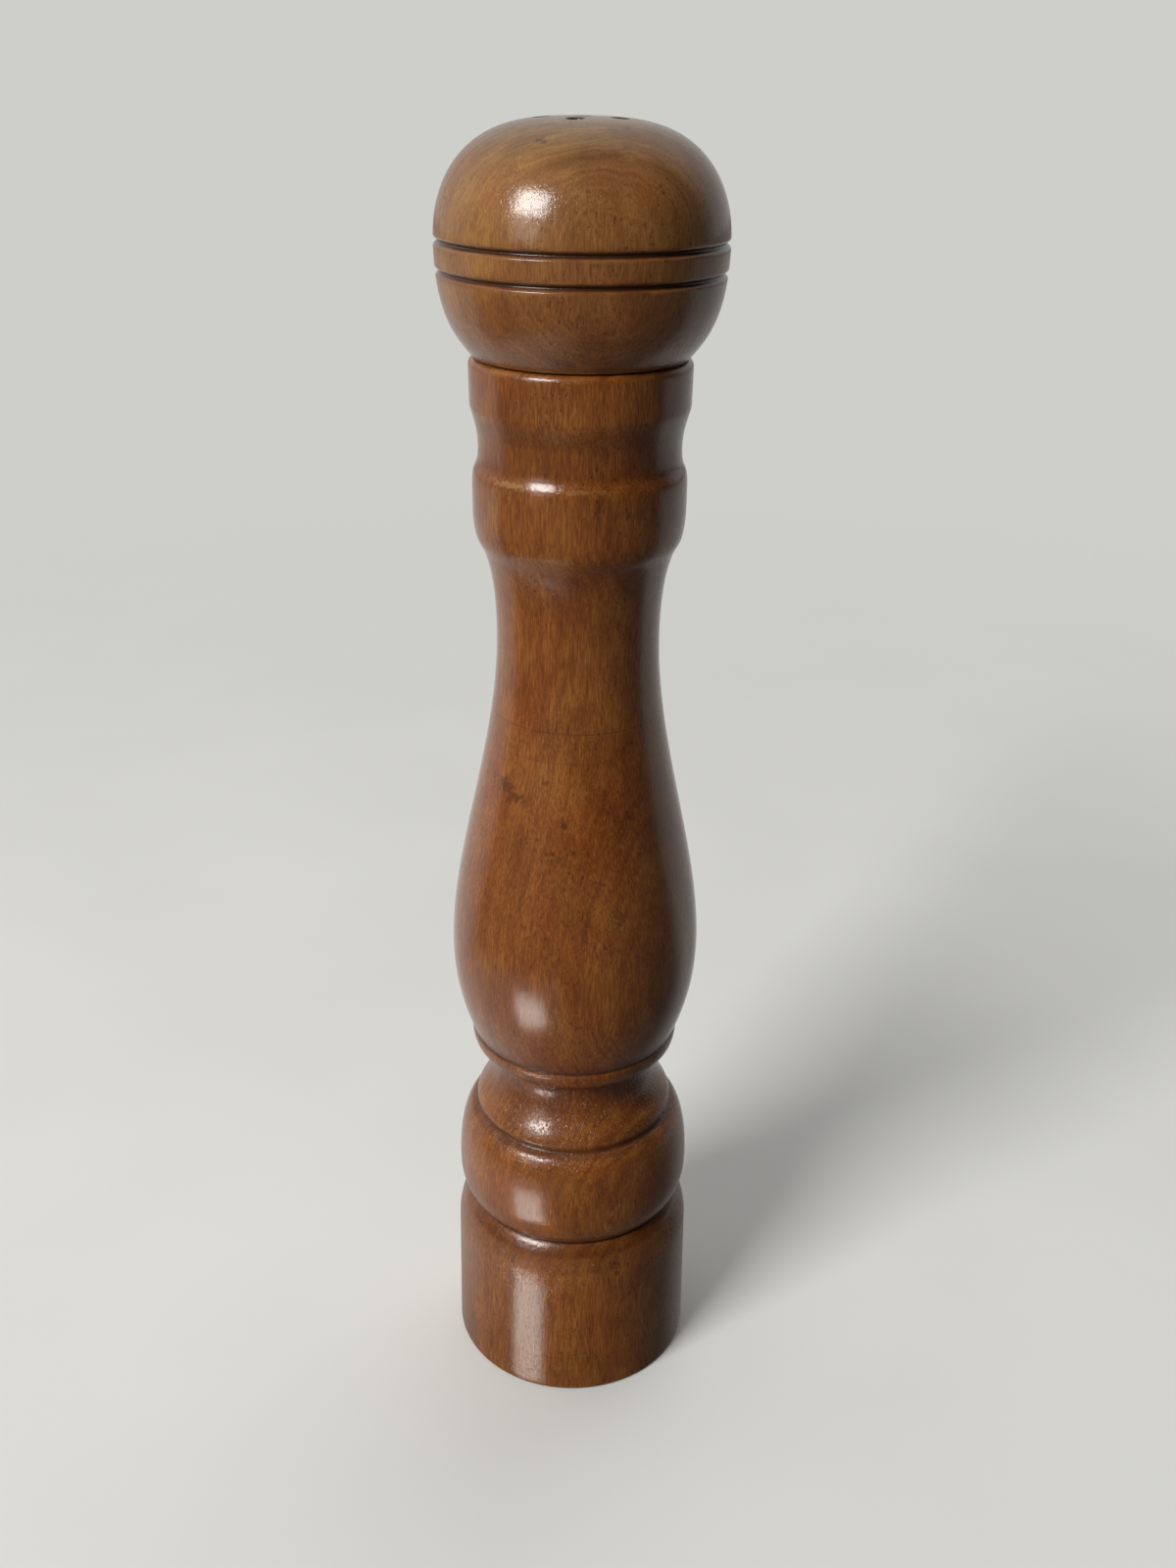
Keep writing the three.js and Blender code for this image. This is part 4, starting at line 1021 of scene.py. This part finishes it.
def rotor_shell():
    """Inner burr: a toothed cone that is hollow below, with a hub and a square hole."""
    low, top = ends_of("rotor_burr")
    gap, cone_top, crown_radius = 0.35, low + 14.0, 7.0
    hub, hollow, toothed, hollow_top = 5.9, 6.3, 6.5, low + 5.0  # teeth are outside the third radius
    cone = [(float(cone_radius(z)) - gap, z) for z in np.linspace(low, THROAT, 24)]
    crown = [
        (cone[-1][0] + (crown_radius - cone[-1][0]) * t, THROAT + (cone_top - THROAT) * t)
        for t in (0.25, 0.5, 0.75, 1)
    ]
    neck = [(hub + 0.3, cone_top), (hub, cone_top + 0.3), (hub, top - 0.3), (hub - 0.3, top)]
    relief = burr_teeth(low, cone_top, -1)
    shell = Shell().turned(
        [(hollow, hollow_top), (hollow, low), *cone, *crown, *neck], FINE_SEGMENTS,
        relief=lambda a, r, z: np.where(r > toothed, relief(a, r, z), r),
        lean=lambda r, z: np.where(r > toothed, TOOTH_LEAN * ((z - low) / (cone_top - low) - 1.0), 0.0),
    )
    square = square_loop(SHAFT_SIDE + 0.2, 0.2)
    shell.swept(square[::-1], [(0.0, hollow_top), (0.0, top)])
    shell.capped(round_loop(hub - 0.3, FINE_SEGMENTS), [square], top)
    return shell.capped(round_loop(hollow, FINE_SEGMENTS), [square], hollow_top, up=False)


def shaft_shell():
    """Square shaft with a chamfered top, dimpled for the thrust ball."""
    (low, top), tip, dimple = ends_of("drive_shaft"), 1.2, 1.7
    foot = [(0.15, low), (0.04, low + 0.04), (0.0, low + 0.15)]
    shape = foot + [(0.0, top - tip), (tip / math.sqrt(2), top)]
    squares = [square_loop(SHAFT_SIDE - 2 * trim, max(0.25 - trim, 0.03)) for trim, _ in shape]
    shell = Shell().lofted([raised(square, height) for square, (_, height) in zip(squares, shape)])
    shell.capped(squares[0], [round_loop(dimple, SMALL_SEGMENTS)], low, up=False)
    shell.capped(squares[-1], [], top)
    return shell.turned([(0.0, low + dimple), (dimple, low)], SMALL_SEGMENTS)


def pin_shell(radius=PIN_RADIUS, reach=None):
    """A chamfered pin along the X axis."""
    end, edge = reach or reach_of("rotor_pin"), 0.2
    shell = Shell().turned([
        (0.0, -end), (radius - edge, -end), (radius, edge - end),
        (radius, end - edge), (radius - edge, end), (0.0, end),
    ], SCREW_SEGMENTS)
    return shell.placed(Matrix.Translation((0, 0, PIN_Z)) @ Matrix.Rotation(math.pi / 2, 4, "Y"))


def ball_shell():
    low, top = ends_of("thrust_ball")
    radius, middle = (top - low) / 2, (top + low) / 2
    half = arc(radius, -math.pi / 2, math.pi / 2, 33, (0.0, middle))
    return Shell().turned(half, ROUND_SEGMENTS)


def washer_shell():
    """Pressed washer: one edge is rounded by the punch, and the other is left sharp."""
    low, top = ends_of("spring_washer")
    outer = reach_of("spring_washer")
    middle = (low + top) / 2
    outline = [
        (SPIDER_BORE, middle), (SPIDER_BORE, low + 0.1), (SPIDER_BORE + 0.1, low), (outer - 0.1, low),
        (outer, low + 0.1), (outer, top - 0.25), (outer - 0.08, top - 0.08), (outer - 0.25, top),
        (SPIDER_BORE + 0.2, top), (SPIDER_BORE, top - 0.2), (SPIDER_BORE, middle),
    ]
    return Shell().turned(outline, SMALL_SEGMENTS)


def spring_shell():
    """Coil of round wire with squared-off ends."""
    wire, coil, turns = 0.55, 5.5, 3.5  # two radii and the number of turns
    low, top = bottom_of("grind_spring") + wire, top_of("grind_spring") - wire
    steps, sides = int(72 * turns), 16
    across = 2 * math.pi * np.arange(sides) / sides
    vertices, faces = [], []
    for way, share in zip(np.linspace(0, 2 * math.pi * turns, steps + 1), np.linspace(0, 1, steps + 1)):
        radii = coil + wire * np.cos(across)
        z = low + (top - low) * share + wire * np.sin(across)
        vertices += list(zip(radii * math.cos(way), radii * math.sin(way), z))
    for i in range(steps):
        for k in range(sides):
            a, b = i * sides + k, i * sides + (k + 1) % sides
            faces.append((a, a + sides, b + sides, b))
    faces += [tuple(range(sides)), tuple(steps * sides + k for k in range(sides))[::-1]]
    return Shell().add(vertices, faces)


# ------------------------------------------------------------------ pieces of the head
def plug_shell():
    """Turned plug under the head: tenon, groove for the ring, socket, filling hole and pilot holes."""
    low, top = ends_of("tenon_plug")
    ring_low, ring_top = bottom_of("tenon_ring") - 0.1, top_of("tenon_ring") + 0.1
    tenon, groove_radius, seat, face_inset = 17.9, 16.47, SALT_RADIUS - 0.1, 1.5
    socket_radius, socket_top, filler_radius, edge = 4.6, low + 16.5, 4.3, 0.35
    side = turned_edges([
        (tenon - face_inset, low), (tenon, low), (tenon, ring_low), (groove_radius, ring_low),
        (groove_radius, ring_top), (tenon, ring_top), (tenon, HEAD_BOTTOM - 0.3), (seat, HEAD_BOTTOM),
        (seat, top), (seat - face_inset, top),
    ], 0.2)
    shell = Shell().turned(closer(side, 1.0), TURN_SEGMENTS)
    filler = round_loop(filler_radius, ROUND_SEGMENTS, (0.0, FILLER_Y))
    socket = round_loop(socket_radius, SMALL_SEGMENTS)
    pilots = twin_loops(PILOT_HOLE, PLATE_SCREW_X, 24)
    shell.swept(filler[::-1], round_edges(low, top, edge))
    shell.swept(socket[::-1], root_round(0.0, low, edge, 4) + [(0.0, socket_top)])
    shell.capped(socket, [], socket_top, up=False)
    for pilot in pilots:
        shell.swept(pilot[::-1], [(0.0, low), (0.0, low + PILOT_DEPTH)])
        shell.capped(pilot, [], low + PILOT_DEPTH, up=False)
    mouths = [inset(filler[::-1], edge), inset(socket[::-1], edge), *pilots]
    shell.capped(round_loop(tenon - face_inset, TURN_SEGMENTS), mouths, low, up=False)
    return shell.capped(round_loop(seat - face_inset, TURN_SEGMENTS), mouths[:1], top)


def ring_shell():
    """Slit ring that grips the body's bore."""
    outer, inner, slit = 18.15, 16.55, 0.16
    loop = arc(outer, slit, 2 * math.pi - slit, 200) + arc(inner, 2 * math.pi - slit, slit, 180)
    return Shell().slab(np.array(loop), [], *ends_of("tenon_ring"), 0.3)


def plate_shell():
    """Strap under the plug with a square hole for the shaft."""
    length, width = 27.0, 10.0
    screws = twin_loops(PLATE_SCREW_HOLE, PLATE_SCREW_X)
    square = square_loop(SHAFT_SIDE + 0.2, 0.35)
    return Shell().slab(strap_loop(length, width), [square, *screws], *ends_of("drive_plate"), 0.2)


def stopper_shell():
    """Soft stopper with a dished flange and two sealing ribs."""
    low, top = ends_of("salt_stopper")
    flange, plug, rib, seat = 5.4, 4.2, 4.27, low + 1.5
    side = [
        (0.0, low + 0.5), (1.1, low + 0.5), (1.4, low + 0.1), (2.0, low + 0.1), (2.4, low + 0.6),
        (4.0, low + 0.6), (4.4, low), (flange, low), (flange, seat), (plug - 0.1, seat),
    ]
    for middle in (seat + 2.2, seat + 4.6):
        side += [(plug - 0.1, middle - 0.7), (rib, middle), (plug - 0.1, middle + 0.7)]
    outline = turned_edges(side + [(plug - 0.1, top - 1), (plug - 1, top), (0.0, top)], 0.2)
    return Shell().turned(outline, SMALL_SEGMENTS).placed(Matrix.Translation((0.0, FILLER_Y, 0.0)))


def joined_or_cut(piece, shell, operation):
    """Joins a shell to a piece or cuts it out of the piece."""
    tool = placed_object("tool", shell.mesh("tool"))
    modifier = piece.modifiers.new("shape", "BOOLEAN")
    modifier.operation, modifier.solver, modifier.object = operation, "EXACT", tool
    done = bpy.data.meshes.new_from_object(piece.evaluated_get(bpy.context.evaluated_depsgraph_get()))
    piece.modifiers.clear()
    plain, piece.data = piece.data, done
    done.name = piece.name
    smoothed(done)
    tool_mesh = tool.data
    bpy.data.objects.remove(tool)
    for mesh in (plain, tool_mesh):
        bpy.data.meshes.remove(mesh)


SMALL_PIECES = {  # node: body, slot, material, shell
    "burr_housing": ("stand", "cast_zinc", ZINC, housing_shell()),
    "stator_burr": ("stand", "burr_steel", BURR_STEEL, stator_shell()),
    "bottom_bridge": ("stand", "plated_steel", BRIGHT_STEEL, bridge_shell()),
    "rotor_burr": ("shaft", "burr_steel", BURR_STEEL, rotor_shell()),
    "drive_shaft": ("shaft", "shaft_aluminium", ALUMINIUM, shaft_shell()),
    "rotor_pin": ("shaft", "plated_steel", BRIGHT_STEEL, pin_shell()),
    "thrust_ball": ("thrust", "plated_steel", BRIGHT_STEEL, ball_shell()),
    "spring_washer": ("thrust", "plated_steel", BRIGHT_STEEL, washer_shell()),
    "grind_spring": (None, "spring_steel", WIRE_STEEL, spring_shell()),
    "thumb_screw": ("adjuster", "turned_brass", BRASS, thumb_screw_shell()),
    "tenon_plug": ("head", "plug_wood", PLUG_WOOD, plug_shell()),
    "tenon_ring": ("ring", "nylon", NYLON, ring_shell()),
    "drive_plate": ("head", "plated_steel", BRIGHT_STEEL, plate_shell()),
    "salt_stopper": ("head", "stopper_rubber", RUBBER, stopper_shell()),
}
for number, side in (("1", -1), ("2", 1)):
    node = "bridge_screw_" + number
    screw = pan_screw(node, side * BRIDGE_SCREW_X, 1.5, 2.9, head_height=1.8, length=16.0, pitch=1.3)
    SMALL_PIECES[node] = ("stand", "plated_steel", BRIGHT_STEEL, screw)
    node = "plate_screw_" + number
    screw = pan_screw(node, side * PLATE_SCREW_X, 1.2, 2.5, head_height=1.3, length=9.0, pitch=1.0)
    SMALL_PIECES[node] = ("head", "plated_steel", BRIGHT_STEEL, screw)

small = {}
for node, (body, slot, finish, shell) in SMALL_PIECES.items():
    small[node] = shell.piece(node + "_detailed", body, [node], slot, [finish])
joined_or_cut(small["burr_housing"], spider_shell(), "UNION")
for node in ("rotor_burr", "drive_shaft"):
    joined_or_cut(small[node], pin_shell(PIN_RADIUS + 0.1, 8.0), "DIFFERENCE")
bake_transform(small["grind_spring"])


# ------------------------------------------------------------------ stage
BACKDROP = (0.62, 0.62, 0.59)  # what the camera sees beyond the floor
FLOOR_HALF = 6.0  # half the floor's side, in metres
LAMPS = {  # azimuth and elevation in degrees, distance and size in metres, power in watts, colour
    "back_fill": (68, 38, 2.6, (2.4, 2.0), 13.0, (1.0, 0.97, 0.93)),
    "window_sky": (-134, 34, 2.6, (1.04, 0.90), 61.0, (1.0, 0.985, 0.96)),
    "window_ground": (-134, 13, 2.6, (0.90, 0.76), 4.5, (1.0, 0.97, 0.92)),
}
WORLD_GLOWS = [  # direction, where the glow starts and is full as a cosine, strength
    ((-0.15, 0.97, 0.05), 0.05, 0.50, 0.45),
    ((-0.2, 0.1, 1.0), 0.45, 1.0, 0.18),
    ((-1.0, -0.10, 0.25), 0.50, 0.95, 0.13),
]
WORLD_LEVEL = 0.03  # where there is no glow


def make_floor():
    """A plain pale floor to the camera. To the object its colour is painted light and shade: a pale painted
    pool of window light to the object's left, and, where the object mirrors it, pale painted light behind the
    object with painted shadow to its right, and dim painted shade in front of it. It is polished close by."""
    g = Material("pale_floor")
    cloud = g.noise(g.place, (0.01, 0.01, 0.01), 2.0)
    pale = g.mix(g.range(cloud, 0.3, 0.7), (0.76, 0.765, 0.745), (0.785, 0.79, 0.77))
    camera, glossy, clear = [
        g.node("LightPath", output=f"Is {kind} Ray") for kind in ("Camera", "Glossy", "Transmission")
    ]
    x, y, _ = g.parts(g.place)
    distance = g.vector("LENGTH", g.place)
    # Painted light: the floor to the object's left is pale to all its rays, as a pool of window light.
    beside = g.range(x, -10.0, -90.0) * g.range(distance, 320.0, 200.0)
    # Painted light in reflections: pale behind the object, dimmed to its right as painted shadow.
    behind = g.range(y, 10.0, 130.0) * g.range(x, 20.0, 160.0, 1.0, 0.78)
    shown = g.strongest([camera, clear, glossy * behind, beside * 0.9])
    fade = g.range(distance, 180.0, 900.0) * camera
    # Elsewhere the object's rays see dim painted shade.
    color = g.mix(fade, g.mix(shown, (0.12, 0.12, 0.118), pale), (0.0, 0.0, 0.0))
    polish = g.range(distance, 225.0, 180.0) * glossy
    mesh = bpy.data.meshes.new("floor")
    corners = [(x * FLOOR_HALF, y * FLOOR_HALF, 0) for x, y in ((-1, -1), (1, -1), (1, 1), (-1, 1))]
    mesh.from_pydata(corners, [], [(0, 1, 2, 3)])
    mesh.materials.append(g.finished(
        Base_Color=color, Roughness=0.7, Specular_IOR_Level=0.0, Emission_Color=BACKDROP,
        Emission_Strength=fade, Coat_Weight=polish, Coat_Roughness=0.06, Coat_IOR=3.4,
    ))
    floor = placed_object("floor", mesh)


def make_lamp(name, azimuth, elevation, distance, size, power, color):
    """A rectangular lamp that faces the middle of the object."""
    data = bpy.data.lights.new(name, "AREA")
    data.shape, (data.size, data.size_y) = "RECTANGLE", size
    data.energy, data.color = power, color
    lamp = placed_object(name, data)
    a, e = math.radians(azimuth), math.radians(elevation)
    away = Vector((math.cos(e) * math.cos(a), math.cos(e) * math.sin(a), math.sin(e)))
    lamp.location = Vector((0, 0, HEAD_TOP * MM / 2)) + distance * away
    lamp.rotation_mode = "QUATERNION"
    lamp.rotation_quaternion = (-away).to_track_quat("-Z", "Y")
    return lamp


def make_world():
    """Soft room light: a pale wall behind the object and a dim room in front of it."""
    world = bpy.data.worlds.new("studio")
    bpy.context.scene.world = world
    world.use_nodes = True
    g = Graph(world.node_tree)
    direction = g.node("TexCoord", output="Generated")
    level = WORLD_LEVEL
    for toward, low, high, strength in WORLD_GLOWS:
        facing = g.vector("DOT_PRODUCT", direction, Vector(toward).normalized())
        level = g.range(facing, low, high, 0.0, strength) + level
    seen = g.mix(g.node("LightPath", output="Is Camera Ray"), level, BACKDROP)
    g.feed(world.node_tree.nodes["Background"].inputs["Color"], seen)


def make_camera():
    """A camera that stands where the photo's did."""
    data = bpy.data.cameras.new("camera")
    data.sensor_width, data.lens = 36.0, 35.1
    data.clip_start = 0.01
    camera = placed_object("camera", data)
    camera.location = (0.0, -0.3193, 0.3094)
    pitch, yaw, roll = math.radians(25.30), math.radians(0.471), math.radians(0.784)
    turn = Matrix.Rotation(-yaw, 4, "Z") @ Matrix.Rotation(math.pi / 2 - pitch, 4, "X")
    camera.rotation_mode = "QUATERNION"
    camera.rotation_quaternion = (turn @ Matrix.Rotation(roll, 4, "Z")).to_quaternion()
    bpy.context.scene.camera = camera


make_floor()
lamps = {name: make_lamp(name, *values) for name, values in LAMPS.items()}
lamps["back_fill"].visible_glossy = False
make_world()
make_camera()
bpy.context.scene.view_settings.view_transform = "Standard"
